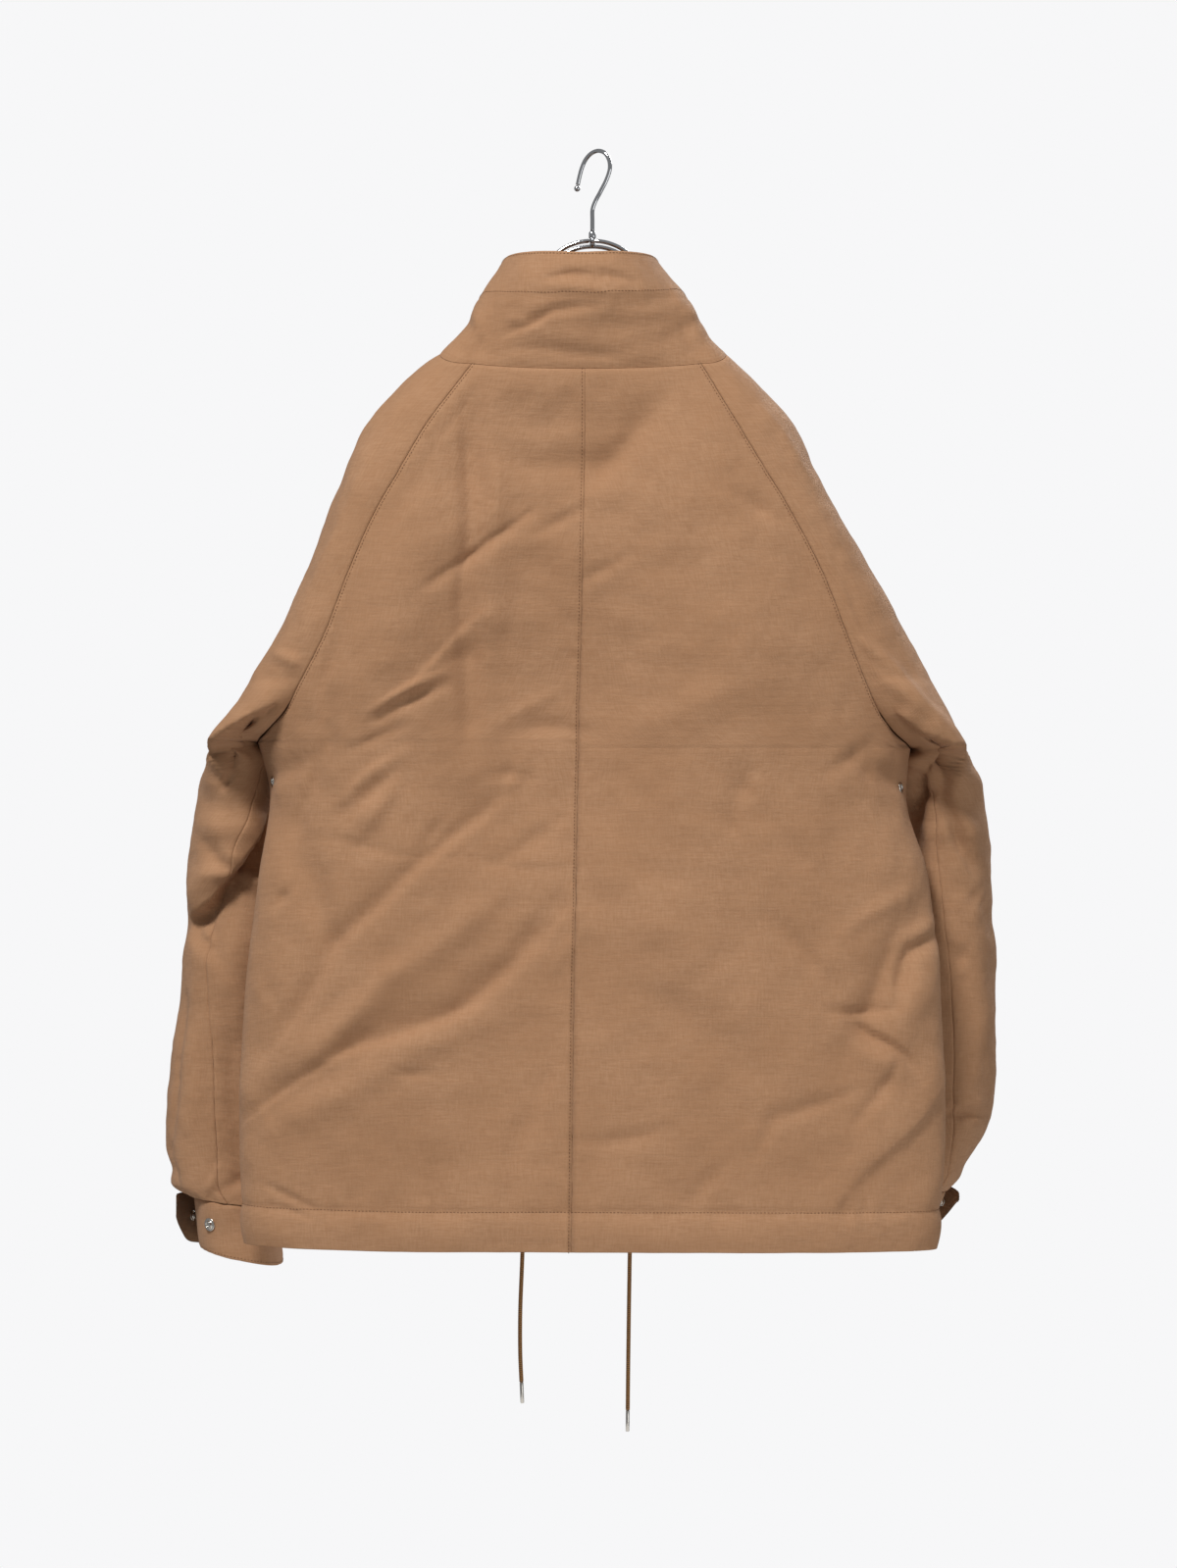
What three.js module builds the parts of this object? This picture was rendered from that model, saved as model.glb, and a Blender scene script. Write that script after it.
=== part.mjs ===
// A tan cotton field jacket with raglan sleeves and a tall stand collar, hanging on a chrome wire hanger.
// Millimetres, +Z up. The origin is the underside of the hanger hook's top, where a rail carries it.
// The back of the jacket faces -Y and the front faces +Y, so left is -X when the back is looked at.
// All tables below measure x from the hanger's stem. add() then moves each piece so that the top of
// the hook, a little to the right of the stem, is at x = 0.
import * as THREE from "three";

// Driving dimensions
const CLOTH = 2.0; // shell and lining together
const COLLAR_CLOTH = 2.6;
const CUFF_CLOTH = 2.6;
const SEAM_GAP = 0.3; // between two pieces at a seam
const COLLAR_GAP = 0.5;
const CUFF_GAP = 0.6;
const SURFACE_GAP = 0.3; // between a piece and the panel that it lies on
const LEFT = -1;
const RIGHT = 1;
const BACK = -1;
const FRONT = 1;

const NECK_BACK_Z = -185.5; // collar seam at the centre back
const NECK_FRONT_Z = -235; // collar seam at the centre front
const NECK_RAGLAN_BACK_Z = -180; // where the back raglan seam meets the collar
const NECK_RAGLAN_FRONT_Z = -198;
const NECK_POINT_Z = { [LEFT]: -167, [RIGHT]: -168 };
const UNDERARM_Z = { [LEFT]: -489, [RIGHT]: -494 };
const HEM_CENTRE_Z = -902;
const HEM_SIDE_Z = { [LEFT]: -899, [RIGHT]: -904 };
const CUFF_TOP_Z = { [LEFT]: -872, [RIGHT]: -866 };
const CUFF_HEIGHT = 46;
const CUFF_TOP_TILT = { [LEFT]: 5, [RIGHT]: 0 }; // how much lower its inner side is than its middle
const CUFF_HEM_TILT = { [LEFT]: 8, [RIGHT]: 0 };
const CUFF_LEAN = { [LEFT]: 5, [RIGHT]: -20 }; // sideways, from its top to its hem
const COLLAR_TOP = { backY: -49, frontY: 88, left: -75, right: 55, power: 2.3 };
const PLACKET_WIDTH = 50;
const SNAP_DIAMETER = 15;
const STUD_DIAMETER = 11;
const CORD_DIAMETER = 3.7;
const TIP_DIAMETER = 5;
const TIP_LENGTH = 18;
const WIRE_DIAMETER = 3.5;
const HOOK_TOP_X = 5; // from the stem to the hook's top

const YOKE_ROWS = 13; // rows of every panel from the collar to the underarm
const BODY_ROWS = 10; // rows of a body panel from the underarm to the hem
const BODY_COLUMNS = 8;
const SLEEVE_ROWS = 11; // rows of a sleeve from the underarm to the cuff
const SLEEVE_COLUMNS = 16;
const COLLAR_ROWS = 3;
const COLLAR_COLUMNS = 2 * BODY_COLUMNS + SLEEVE_COLUMNS; // on each half, one for each panel column below
const CUFF_COLUMNS = 22;
const LOWER_ROW_EASE = 1.3; // crowds the rows towards the hem and the cuff
const SEAM_STEP = 1e-3; // share of a section used to measure its direction

const TAN = new THREE.MeshStandardMaterial({ color: 0xb48a66, roughness: 0.85, metalness: 0 });
const DARK_TAN = new THREE.MeshStandardMaterial({ color: 0x8a6544, roughness: 0.9, metalness: 0 });
const CORD_BROWN = new THREE.MeshStandardMaterial({ color: 0x7a5228, roughness: 0.8, metalness: 0 });
const NICKEL = new THREE.MeshStandardMaterial({ color: 0xc9c8c4, roughness: 0.25, metalness: 1 });
const CHROME = new THREE.MeshStandardMaterial({ color: 0xd8dadd, roughness: 0.12, metalness: 1 });

const jacket = new THREE.Group();

function add(name, geometry, material) {
  geometry.translate(-HOOK_TOP_X, 0, 0);
  const mesh = new THREE.Mesh(geometry, material);
  mesh.name = name;
  jacket.add(mesh);
}

const mix = (a, b, t) => a + (b - a) * t;

function smooth(t) {
  const s = Math.min(1, Math.max(0, t));
  return s * s * (3 - 2 * s);
}

// A table of named columns; the first is the key, in rising order. The result reads any column between
// the rows by a monotone cubic, so a section never bulges past its two neighbours.
function table(names, ...rows) {
  const key = rows.map((row) => row[0]);
  const columns = {};
  names.forEach((name, c) => {
    const value = rows.map((row) => row[c]);
    const rise = value.slice(1).map((v, i) => (v - value[i]) / (key[i + 1] - key[i]));
    const slope = value.map((_, i) => {
      const before = rise[Math.max(0, i - 1)];
      const after = rise[Math.min(rise.length - 1, i)];
      return before * after <= 0 ? 0 : (2 * before * after) / (before + after);
    });
    columns[name] = { value, slope };
  });
  return (name, at) => {
    const { value, slope } = columns[name];
    const last = key.length - 2;
    let i = 0;
    while (i < last && at > key[i + 1]) i += 1;
    const span = key[i + 1] - key[i];
    const t = Math.min(1, Math.max(0, (at - key[i]) / span));
    const t2 = t * t;
    const t3 = t2 * t;
    return (
      (2 * t3 - 3 * t2 + 1) * value[i] +
      (t3 - 2 * t2 + t) * span * slope[i] +
      (3 * t2 - 2 * t3) * value[i + 1] +
      (t3 - t2) * span * slope[i + 1]
    );
  };
}

// The body's horizontal sections. Above the underarm, left and right are where the section would close
// behind the sleeve. A power of 2 is an ellipse and a higher one is boxier.
const body = table(
  ["z", "seam", "left", "right", "sideY", "backY", "frontY", "backPower", "frontPower"],
  [-905, -17, 286, 283, -24, -80, 54, 2.9, 1.9],
  [-800, -16, 290, 290, -26, -82, 58, 2.9, 1.9],
  [-700, -15, 286, 286, -22, -84, 62, 2.8, 1.9],
  [-600, -13, 275, 277, -10, -85, 68, 2.7, 1.9],
  [-535, -12, 267, 260, 2, -86, 72, 2.6, 1.9],
  [-489, -11, 278, 265, 14, -87, 75, 2.6, 2.0],
  [-465, -11, 284, 268, 13, -87, 76, 2.6, 2.0],
  [-440, -10, 286, 270, 10, -87, 77, 2.6, 2.0],
  [-400, -9, 278, 262, 5, -87, 77, 2.6, 2.1],
  [-350, -8, 262, 246, 1, -85, 76, 2.5, 2.1],
  [-290, -7, 234, 220, -2, -81, 70, 2.4, 2.1],
  [-230, -6, 194, 184, -4, -73, 61, 2.3, 2.1],
  [-185, -6, 152, 144, -5, -63, 51, 2.1, 2.0],
  [-160, -5, 128, 120, -5, -58, 46, 2.0, 2.0],
);

// The raglan seams, as distances from the plane x = 0, the same on the back and the front
const raglan = {
  [LEFT]: table(
    ["z", "x"],
    [-489, 278],
    [-475, 262],
    [-462, 250],
    [-440, 238],
    [-399, 217],
    [-357, 201],
    [-306, 179],
    [-269, 158],
    [-231, 136],
    [-182, 100],
    [-160, 85],
  ),
  [RIGHT]: table(
    ["z", "x"],
    [-494, 264],
    [-479, 245],
    [-461, 232],
    [-436, 221],
    [-399, 206],
    [-353, 188],
    [-294, 157],
    [-268, 141],
    [-233, 120],
    [-206, 104],
    [-182, 90],
    [-160, 76],
  ),
};

// The sleeves' horizontal sections: outer and inner reach, centre and half depth. Above the underarm
// the inner edge is the raglan seam instead, and halfY counts only where it is more than the seams give.
const sleeve = {
  [LEFT]: table(
    ["z", "outer", "inner", "centreY", "halfY", "seamAngle"],
    [-872, 335, 266, 52, 46, 62],
    [-858, 354, 262, 56, 50, 62],
    [-835, 358, 262, 58, 51, 60],
    [-800, 360, 262, 61, 53, 56],
    [-750, 354, 262, 64, 54, 52],
    [-690, 346, 260, 66, 56, 46],
    [-625, 343, 260, 64, 57, 38],
    [-560, 337, 266, 58, 55, 24],
    [-520, 329.5, 273, 44, 52, 8],
    [-489, 317, 278.6, 16, 48, 0],
    [-458, 296, 278.6, 12, 54, 0],
    [-425, 275, 278.6, 8, 50, 0],
    [-393, 257, 278.6, 6, 0, 0],
    [-328, 229, 278.6, 4, 0, 0],
    [-263, 204, 278.6, 2, 0, 0],
    [-230, 188, 278.6, 0, 0, 0],
    [-198, 162, 278.6, 0, 0, 0],
    [-182, 146, 278.6, 0, 0, 0],
    [-171, 131.5, 278.6, 0, 0, 0],
    [-165, 120, 278.6, 0, 0, 0],
  ),
  [RIGHT]: table(
    ["z", "outer", "inner", "centreY", "halfY", "seamAngle"],
    [-866, 300, 231, 74, 44, 62],
    [-852, 314, 236, 72, 46, 61],
    [-835, 323, 242, 71, 48, 60],
    [-800, 337, 250, 69, 52, 56],
    [-750, 341, 258, 68, 54, 52],
    [-690, 340, 260, 68, 56, 46],
    [-625, 338, 258, 65, 57, 38],
    [-560, 333.5, 264, 58, 55, 24],
    [-525, 327, 265.5, 44, 52, 8],
    [-494, 311, 264.8, 16, 48, 0],
    [-458, 290, 264.8, 12, 54, 0],
    [-425, 273, 264.8, 8, 50, 0],
    [-393, 256, 264.8, 6, 0, 0],
    [-328, 220, 264.8, 4, 0, 0],
    [-263, 183, 264.8, 2, 0, 0],
    [-230, 169, 264.8, 0, 0, 0],
    [-198, 142, 264.8, 0, 0, 0],
    [-182, 126, 264.8, 0, 0, 0],
    [-171, 114, 264.8, 0, 0, 0],
    [-165, 107, 264.8, 0, 0, 0],
  ),
};
const SLEEVE_POWER = 2.25;

// The largest folds of the body: soft ridges (+) and troughs (-) along a line on the back or the front
const FOLDS = {
  [BACK]: [
    { x0: -275, z0: -800, x1: -205, z1: -752, width: 16, height: -6 },
    { x0: -262, z0: -770, x1: -190, z1: -715, width: 20, height: 5 },
    { x0: 262, z0: -640, x1: 218, z1: -720, width: 14, height: -6 },
    { x0: 275, z0: -665, x1: 240, z1: -745, width: 18, height: 5 },
    { x0: -90, z0: -215, x1: -112, z1: -330, width: 20, height: -4 },
    { x0: 70, z0: -200, x1: 6, z1: -262, width: 16, height: -4 },
    { x0: -45, z0: -262, x1: 30, z1: -268, width: 14, height: -4 },
    { x0: -245, z0: -560, x1: -215, z1: -640, width: 16, height: -5 },
    { x0: -268, z0: -520, x1: -236, z1: -500, width: 9, height: -4 },
    { x0: 260, z0: -525, x1: 228, z1: -508, width: 9, height: -4 },
    { x0: -120, z0: -345, x1: -60, z1: -300, width: 14, height: -3 },
    { x0: -150, z0: -430, x1: -90, z1: -415, width: 16, height: -3 },
  ],
  [FRONT]: [
    { x0: -200, z0: -300, x1: -150, z1: -470, width: 22, height: -5 },
    { x0: 190, z0: -300, x1: 140, z1: -470, width: 22, height: -5 },
    { x0: -250, z0: -540, x1: -150, z1: -640, width: 20, height: -4 },
    { x0: 245, z0: -545, x1: 140, z1: -650, width: 20, height: -4 },
    { x0: -120, z0: -700, x1: -100, z1: -880, width: 24, height: 4 },
    { x0: 95, z0: -690, x1: 85, z1: -880, width: 24, height: 4 },
  ],
};

// How far the cloth of a body face stands out at a place, from all the folds near it
function foldHeight(face, x, z) {
  let sum = 0;
  for (const { x0, z0, x1, z1, width, height } of FOLDS[face]) {
    const length = Math.hypot(x1 - x0, z1 - z0);
    const along = ((x - x0) * (x1 - x0) + (z - z0) * (z1 - z0)) / length;
    const across = ((x - x0) * (z1 - z0) - (z - z0) * (x1 - x0)) / length;
    const beyond = Math.max(0, -along, along - length);
    sum += height * Math.exp(-((across / width) ** 2) - (beyond / (1.6 * width)) ** 2);
  }
  return sum;
}

// Dents and ridges round a sleeve, by height and by share of the way round from the back seam
const SLEEVE_DENTS = [
  { z: -535, share: 0.3, tall: 16, wide: 0.1, height: -6 },
  { z: -560, share: 0.22, tall: 12, wide: 0.12, height: 4 },
  { z: -640, share: 0.3, tall: 16, wide: 0.14, height: -6 },
  { z: -668, share: 0.36, tall: 14, wide: 0.14, height: 4 },
  { z: -600, share: 0.75, tall: 18, wide: 0.14, height: -5 },
  { z: -700, share: 0.7, tall: 18, wide: 0.14, height: -4 },
  { z: -845, share: 0.3, tall: 10, wide: 0.08, height: -4 },
  { z: -845, share: 0.62, tall: 10, wide: 0.08, height: -4 },
];

function dentHeight(share, z) {
  let sum = 0;
  for (const dent of SLEEVE_DENTS) {
    const up = (z - dent.z) / dent.tall;
    const round = (share - dent.share) / dent.wide;
    sum += dent.height * Math.exp(-up * up - round * round);
  }
  return sum * smooth((UNDERARM_Z[LEFT] + 6 - z) / 30) * smooth(share / 0.1) * smooth((1 - share) / 0.1);
}

// A point of a body section, at a share of the way from the centre seam to the raglan or side seam
function bodySection(side, face, z, share) {
  const seam = body("seam", z);
  const reach = Math.abs(side * body(side === LEFT ? "left" : "right", z) - seam);
  const power = body(face === BACK ? "backPower" : "frontPower", z);
  const sideY = body("sideY", z);
  const faceY = body(face === BACK ? "backY" : "frontY", z);
  let widest = Math.PI / 2;
  if (z > UNDERARM_Z[side]) {
    const part = Math.min(1, Math.abs(side * raglan[side]("x", z) - seam) / reach);
    widest = Math.asin(part ** (power / 2));
  }
  const angle = share * widest;
  return new THREE.Vector2(
    seam + side * reach * Math.sin(angle) ** (2 / power),
    sideY + (faceY - sideY) * Math.max(0, Math.cos(angle)) ** (2 / power),
  );
}

// A point of a sleeve section, at a share of the way from the back seam round the outside to the front seam
function sleeveSection(side, z, share) {
  const at = sleeve[side];
  const outer = at("outer", z);
  let inner = at("inner", z);
  let centreY = at("centreY", z);
  let halfY = at("halfY", z);
  let start = THREE.MathUtils.degToRad(at("seamAngle", z));
  let end = start + 2 * Math.PI;
  let halfX = (outer - inner) / 2;
  if (z > UNDERARM_Z[side]) {
    const back = bodySection(side, BACK, z, 1);
    const front = bodySection(side, FRONT, z, 1);
    const half = (front.y - back.y) / 2;
    inner = Math.abs(back.x) + SEAM_GAP;
    centreY = (front.y + back.y) / 2;
    halfY = Math.max(halfY, half);
    start = Math.asin((half / halfY) ** (SLEEVE_POWER / 2));
    end = 2 * Math.PI - start;
    halfX = (outer - inner) / (1 + Math.cos(start) ** (2 / SLEEVE_POWER));
  }
  const angle = mix(start, end, share);
  const cos = Math.cos(angle);
  const sin = Math.sin(angle);
  return new THREE.Vector2(
    side * (outer - halfX - Math.sign(cos) * halfX * Math.abs(cos) ** (2 / SLEEVE_POWER)),
    centreY - Math.sign(sin) * halfY * Math.abs(sin) ** (2 / SLEEVE_POWER),
  );
}

// The outward horizontal normal of a section
function sectionNormal(section, z, share, turn) {
  const before = section(z, Math.max(0, share - SEAM_STEP));
  const after = section(z, Math.min(1, share + SEAM_STEP));
  const along = after.sub(before).normalize();
  return new THREE.Vector2(-along.y * turn, along.x * turn);
}

// The direction in which both walls of a raglan seam are thick, so that they don't cross inside it
function seamNormal(side, face, z) {
  const panel = sectionNormal((h, s) => bodySection(side, face, h, s), z, 1, side * face);
  const arm = sectionNormal((h, s) => sleeveSection(side, h, s), z, face === BACK ? 0 : 1, -side);
  return panel.dot(arm) > 0.3 ? panel.add(arm).normalize() : null;
}

// A closed wall over a grid of outer points, thick along the sections' horizontal normals
function wall({ rows, columns, height, section, turn, thickness, gapStart, gapEnd, relief, edgeNormal }) {
  const outer = [];
  const inner = [];
  for (let r = 0; r <= rows; r += 1) {
    for (let c = 0; c <= columns; c += 1) {
      const share = c / columns;
      const z = height(r / rows, share);
      const startSpeed = section(z, 0).distanceTo(section(z, SEAM_STEP)) / SEAM_STEP;
      const endSpeed = section(z, 1).distanceTo(section(z, 1 - SEAM_STEP)) / SEAM_STEP;
      const trimmed = mix(gapStart / startSpeed, 1 - gapEnd / endSpeed, share);
      const point = section(z, trimmed);
      let normal = sectionNormal(section, z, trimmed, turn);
      if (edgeNormal && (c === 0 || c === columns)) normal = edgeNormal(z, c) ?? normal;
      const lower = section(z - 1, trimmed);
      const slope = lower.sub(point).dot(normal);
      const across = thickness * Math.min(1.7, Math.hypot(1, slope));
      const lift = relief ? relief(point, z, trimmed) : 0;
      outer.push(point.x + normal.x * lift, point.y + normal.y * lift, z);
      inner.push(point.x + normal.x * (lift - across), point.y + normal.y * (lift - across), z);
    }
  }
  return shell(outer, inner, rows, columns, turn > 0);
}

// Joins an outer and an inner grid of points into one closed solid
function shell(outer, inner, rows, columns, forwards) {
  const width = columns + 1;
  const count = (rows + 1) * width;
  const index = [];
  const quad = (a, b, c, d) => {
    if (forwards) index.push(a, b, c, b, d, c);
    else index.push(a, c, b, b, c, d);
  };
  for (let r = 0; r < rows; r += 1) {
    for (let c = 0; c < columns; c += 1) {
      const a = r * width + c;
      quad(a, a + 1, a + width, a + width + 1);
      quad(count + a + 1, count + a, count + a + width + 1, count + a + width);
    }
  }
  for (let r = 0; r < rows; r += 1) {
    const a = r * width;
    const b = a + columns;
    quad(count + a, a, count + a + width, a + width);
    quad(b, count + b, b + width, count + b + width);
  }
  for (let c = 0; c < columns; c += 1) {
    const b = rows * width + c;
    quad(count + c, count + c + 1, c, c + 1);
    quad(b, b + 1, count + b, count + b + 1);
  }
  const geometry = new THREE.BufferGeometry();
  geometry.setAttribute("position", new THREE.Float32BufferAttribute([...outer, ...inner], 3));
  geometry.setIndex(index);
  return geometry;
}

// Heights of the collar seam, by share of each panel's top edge
function neckHeight(side, piece, share) {
  if (piece === "back") return mix(NECK_BACK_Z, NECK_RAGLAN_BACK_Z, share * share);
  if (piece === "front") return mix(NECK_FRONT_Z, NECK_RAGLAN_FRONT_Z, share * share);
  const top = NECK_POINT_Z[side];
  return share < 0.5
    ? mix(NECK_RAGLAN_BACK_Z, top, smooth(share * 2))
    : mix(top, NECK_RAGLAN_FRONT_Z, smooth(share * 2 - 1));
}

// Heights down a panel: the yoke's rows are the same shares on every panel, so that the raglan seams match
function panelHeight(side, piece, bottom, lowerRows) {
  const rows = YOKE_ROWS + lowerRows;
  return (down, share) => {
    const row = Math.round(down * rows);
    const top = neckHeight(side, piece, share);
    if (row <= YOKE_ROWS) return mix(top, UNDERARM_Z[side], row / YOKE_ROWS);
    const below = (row - YOKE_ROWS) / lowerRows;
    return mix(UNDERARM_Z[side], bottom(share), 1 - (1 - below) ** LOWER_ROW_EASE);
  };
}

// Back and front panels, with a centre seam, from the collar to the hem
const hem = (side) => (share) => mix(HEM_CENTRE_Z, HEM_SIDE_Z[side], smooth(share));

function bodyPanel(side, face) {
  return wall({
    rows: YOKE_ROWS + BODY_ROWS,
    columns: BODY_COLUMNS,
    height: panelHeight(side, face === BACK ? "back" : "front", hem(side), BODY_ROWS),
    section: (z, share) => bodySection(side, face, z, share),
    turn: side * face,
    thickness: CLOTH,
    gapStart: SEAM_GAP / 2,
    gapEnd: SEAM_GAP / 2,
    relief: (point, z) => foldHeight(face, point.x, z),
    edgeNormal: (z, column) => (column > 0 && z > UNDERARM_Z[side] ? seamNormal(side, face, z) : null),
  });
}

// The sleeve's lower edge, which is level or a little lower on its inner side
function wristHeight(side, share) {
  const seam = THREE.MathUtils.degToRad(sleeve[side]("seamAngle", CUFF_TOP_Z[side]));
  return CUFF_TOP_Z[side] - CUFF_TOP_TILT[side] * Math.cos(seam + 2 * Math.PI * share);
}

// A raglan sleeve in one piece: its edges meet the body above the underarm and each other below it
function raglanSleeve(side) {
  const faceOf = (share) => (share < 0.5 ? BACK : FRONT);
  return wall({
    rows: YOKE_ROWS + SLEEVE_ROWS,
    columns: SLEEVE_COLUMNS,
    height: panelHeight(side, "sleeve", (share) => wristHeight(side, share), SLEEVE_ROWS),
    section: (z, share) => sleeveSection(side, z, share),
    turn: -side,
    thickness: CLOTH,
    gapStart: SEAM_GAP / 2,
    gapEnd: SEAM_GAP / 2,
    relief: (point, z, share) => {
      const fade = smooth(Math.abs(share - 0.5) * 4 - 1);
      const yoke = z > UNDERARM_Z[side] ? foldHeight(faceOf(share), point.x, z) * fade : 0;
      return yoke + dentHeight(share, z);
    },
    edgeNormal: (z, column) =>
      z > UNDERARM_Z[side] ? seamNormal(side, column === 0 ? BACK : FRONT, z) : null,
  });
}

// A point of the collar's seam line, at a share of the way from the centre back to the centre front
const COLLAR_BACK_SHARE = BODY_COLUMNS / COLLAR_COLUMNS;
const COLLAR_SHOULDER_SHARE = 1 - COLLAR_BACK_SHARE;

function neckPoint(side, share) {
  const place = (piece, section, part) => {
    const z = neckHeight(side, piece, part);
    const point = section(z, part);
    return new THREE.Vector3(point.x, point.y, z + COLLAR_GAP);
  };
  const onBack = (z, part) => bodySection(side, BACK, z, part);
  const onSleeve = (z, part) => sleeveSection(side, z, part);
  const onFront = (z, part) => bodySection(side, FRONT, z, part);
  if (share < COLLAR_BACK_SHARE) return place("back", onBack, share / COLLAR_BACK_SHARE);
  if (share > COLLAR_SHOULDER_SHARE) {
    return place("front", onFront, (1 - share) / (1 - COLLAR_SHOULDER_SHARE));
  }
  return place("sleeve", onSleeve, (share - COLLAR_BACK_SHARE) / (COLLAR_SHOULDER_SHARE - COLLAR_BACK_SHARE));
}

// The collar's top edge: how high it is along the way from the centre back to the centre front
const collarTop = table(
  ["share", "z", "angle"],
  [0, -90.5, 0],
  [0.125, -88.5, 34],
  [0.25, -88, 60],
  [0.5, -94, 90],
  [0.75, -108, 114],
  [0.875, -126, 146],
  [1, -142, 180],
);

// How far the collar's two sides stand out (+) or in (-) from a straight cone, and its middle leans
const COLLAR_LEAN = -3;
const collarBulge = table(
  ["up", "left", "right"],
  [0, 0, 0],
  [0.18, -3.5, -4],
  [0.35, -6, -1],
  [0.6, -2, 2.5],
  [0.85, 0, 0.5],
  [1, 0, 0],
);

function collarTopPoint(side, share) {
  const angle = THREE.MathUtils.degToRad(collarTop("angle", share));
  const centreX = (COLLAR_TOP.left + COLLAR_TOP.right) / 2;
  const centreY = (COLLAR_TOP.backY + COLLAR_TOP.frontY) / 2;
  const halfX = (COLLAR_TOP.right - COLLAR_TOP.left) / 2;
  const halfY = (COLLAR_TOP.frontY - COLLAR_TOP.backY) / 2;
  const cos = Math.cos(angle);
  return new THREE.Vector3(
    centreX + side * halfX * Math.abs(Math.sin(angle)) ** (2 / COLLAR_TOP.power),
    centreY - Math.sign(cos) * halfY * Math.abs(cos) ** (2 / COLLAR_TOP.power),
    collarTop("z", share),
  );
}

// A point of the collar: up is 0 at the seam and 1 at the top edge, round runs from -1 (front, left)
// through 0 (centre back) to 1 (front, right)
function collarPoint(up, round) {
  const side = round < 0 ? LEFT : RIGHT;
  const share = Math.abs(round);
  const base = neckPoint(side, share);
  const top = collarTopPoint(side, share);
  const point = base.clone().lerp(top, up);
  const bulge = collarBulge(side === LEFT ? "left" : "right", up);
  point.x += side * bulge * Math.sin(Math.PI * share);
  point.y += COLLAR_LEAN * 4 * up * (1 - up) * Math.cos(Math.PI * share);
  return point;
}

function collarNormal(up, round) {
  const step = 2e-3;
  const before = collarPoint(up, Math.max(-1, round - step));
  const after = collarPoint(up, Math.min(1, round + step));
  const along = after.sub(before);
  return new THREE.Vector3(along.y, -along.x, 0).normalize();
}

// A strip of the collar's surface, moved outwards by lift and as thick as thickness
function collarStrip({ rows, columns, roundAt, upAt, lift, thickness }) {
  const outer = [];
  const inner = [];
  for (let r = 0; r <= rows; r += 1) {
    for (let c = 0; c <= columns; c += 1) {
      const up = upAt(1 - r / rows);
      const round = roundAt(c / columns);
      const point = collarPoint(up, round);
      const normal = collarNormal(up, round);
      const far = collarPoint(up + 0.01 * (up > 0.5 ? -1 : 1), round);
      const slope = far.clone().sub(point).dot(normal) / Math.abs(far.z - point.z);
      const steep = Math.min(1.7, Math.hypot(1, slope));
      outer.push(...point.clone().addScaledVector(normal, (lift + thickness) * steep).toArray());
      inner.push(...point.clone().addScaledVector(normal, lift * steep).toArray());
    }
  }
  return shell(outer, inner, rows, columns, false);
}

const COLLAR_END = 0.985; // the collar stops just short of the centre front on both sides

function collar() {
  return collarStrip({
    rows: COLLAR_ROWS,
    columns: 2 * COLLAR_COLUMNS,
    roundAt: (t) => Math.min(COLLAR_END, Math.max(-COLLAR_END, 2 * t - 1)),
    upAt: (t) => t,
    lift: -COLLAR_CLOTH,
    thickness: COLLAR_CLOTH,
  });
}

// The strip over the collar's front opening is bent round from one end to the other
function collarPlacket() {
  const rows = 4;
  const columns = 4;
  const outer = [];
  const inner = [];
  for (let r = 0; r <= rows; r += 1) {
    const up = mix(0.96, 0.02, r / rows);
    const middle = collarPoint(up, 1);
    for (let c = 0; c <= columns; c += 1) {
      const x = middle.x - PLACKET_SHIFT + PLACKET_WIDTH * (0.5 - c / columns);
      const y = collarFrontY(up, x) + SURFACE_GAP + 0.5;
      inner.push(x, y, middle.z);
      outer.push(x, y + CLOTH * 1.2, middle.z);
    }
  }
  return shell(outer, inner, rows, columns, false);
}

// How far forward the collar's front reaches at a distance from x = 0, found by halving the way round
function collarFrontY(up, x) {
  const side = x < collarPoint(up, 1).x ? LEFT : RIGHT;
  let near = 1;
  let far = 0.6;
  for (let i = 0; i < 30; i += 1) {
    const round = (near + far) / 2;
    if (side * (collarPoint(up, side * round).x - x) < 0) near = round;
    else far = round;
  }
  return collarPoint(up, side * near).y;
}

// The placket lies over the centre front, more to the wearer's left
const PLACKET_SHIFT = 5;

// How far out a body face reaches at any x, without its folds
function bodyFaceY(face, x, z) {
  const seam = body("seam", z);
  const reach = Math.abs((x < seam ? -1 : 1) * body(x < seam ? "left" : "right", z) - seam);
  const power = body(face === BACK ? "backPower" : "frontPower", z);
  const sideY = body("sideY", z);
  const faceY = body(face === BACK ? "backY" : "frontY", z);
  return sideY + (faceY - sideY) * (1 - (Math.abs(x - seam) / reach) ** power) ** (1 / power);
}

function frontPlacket() {
  const rows = 16;
  const columns = 3;
  const outer = [];
  const inner = [];
  for (let r = 0; r <= rows; r += 1) {
    const z = mix(NECK_FRONT_Z - 4, HEM_CENTRE_Z + 1, r / rows);
    for (let c = 0; c <= columns; c += 1) {
      const x = body("seam", z) - PLACKET_SHIFT + PLACKET_WIDTH * (0.5 - c / columns);
      const y = bodyFaceY(FRONT, x, z) + foldHeight(FRONT, x, z) + SURFACE_GAP + 0.3;
      inner.push(x, y, z);
      outer.push(x, y + CLOTH, z);
    }
  }
  return shell(outer, inner, rows, columns, false);
}

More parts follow.
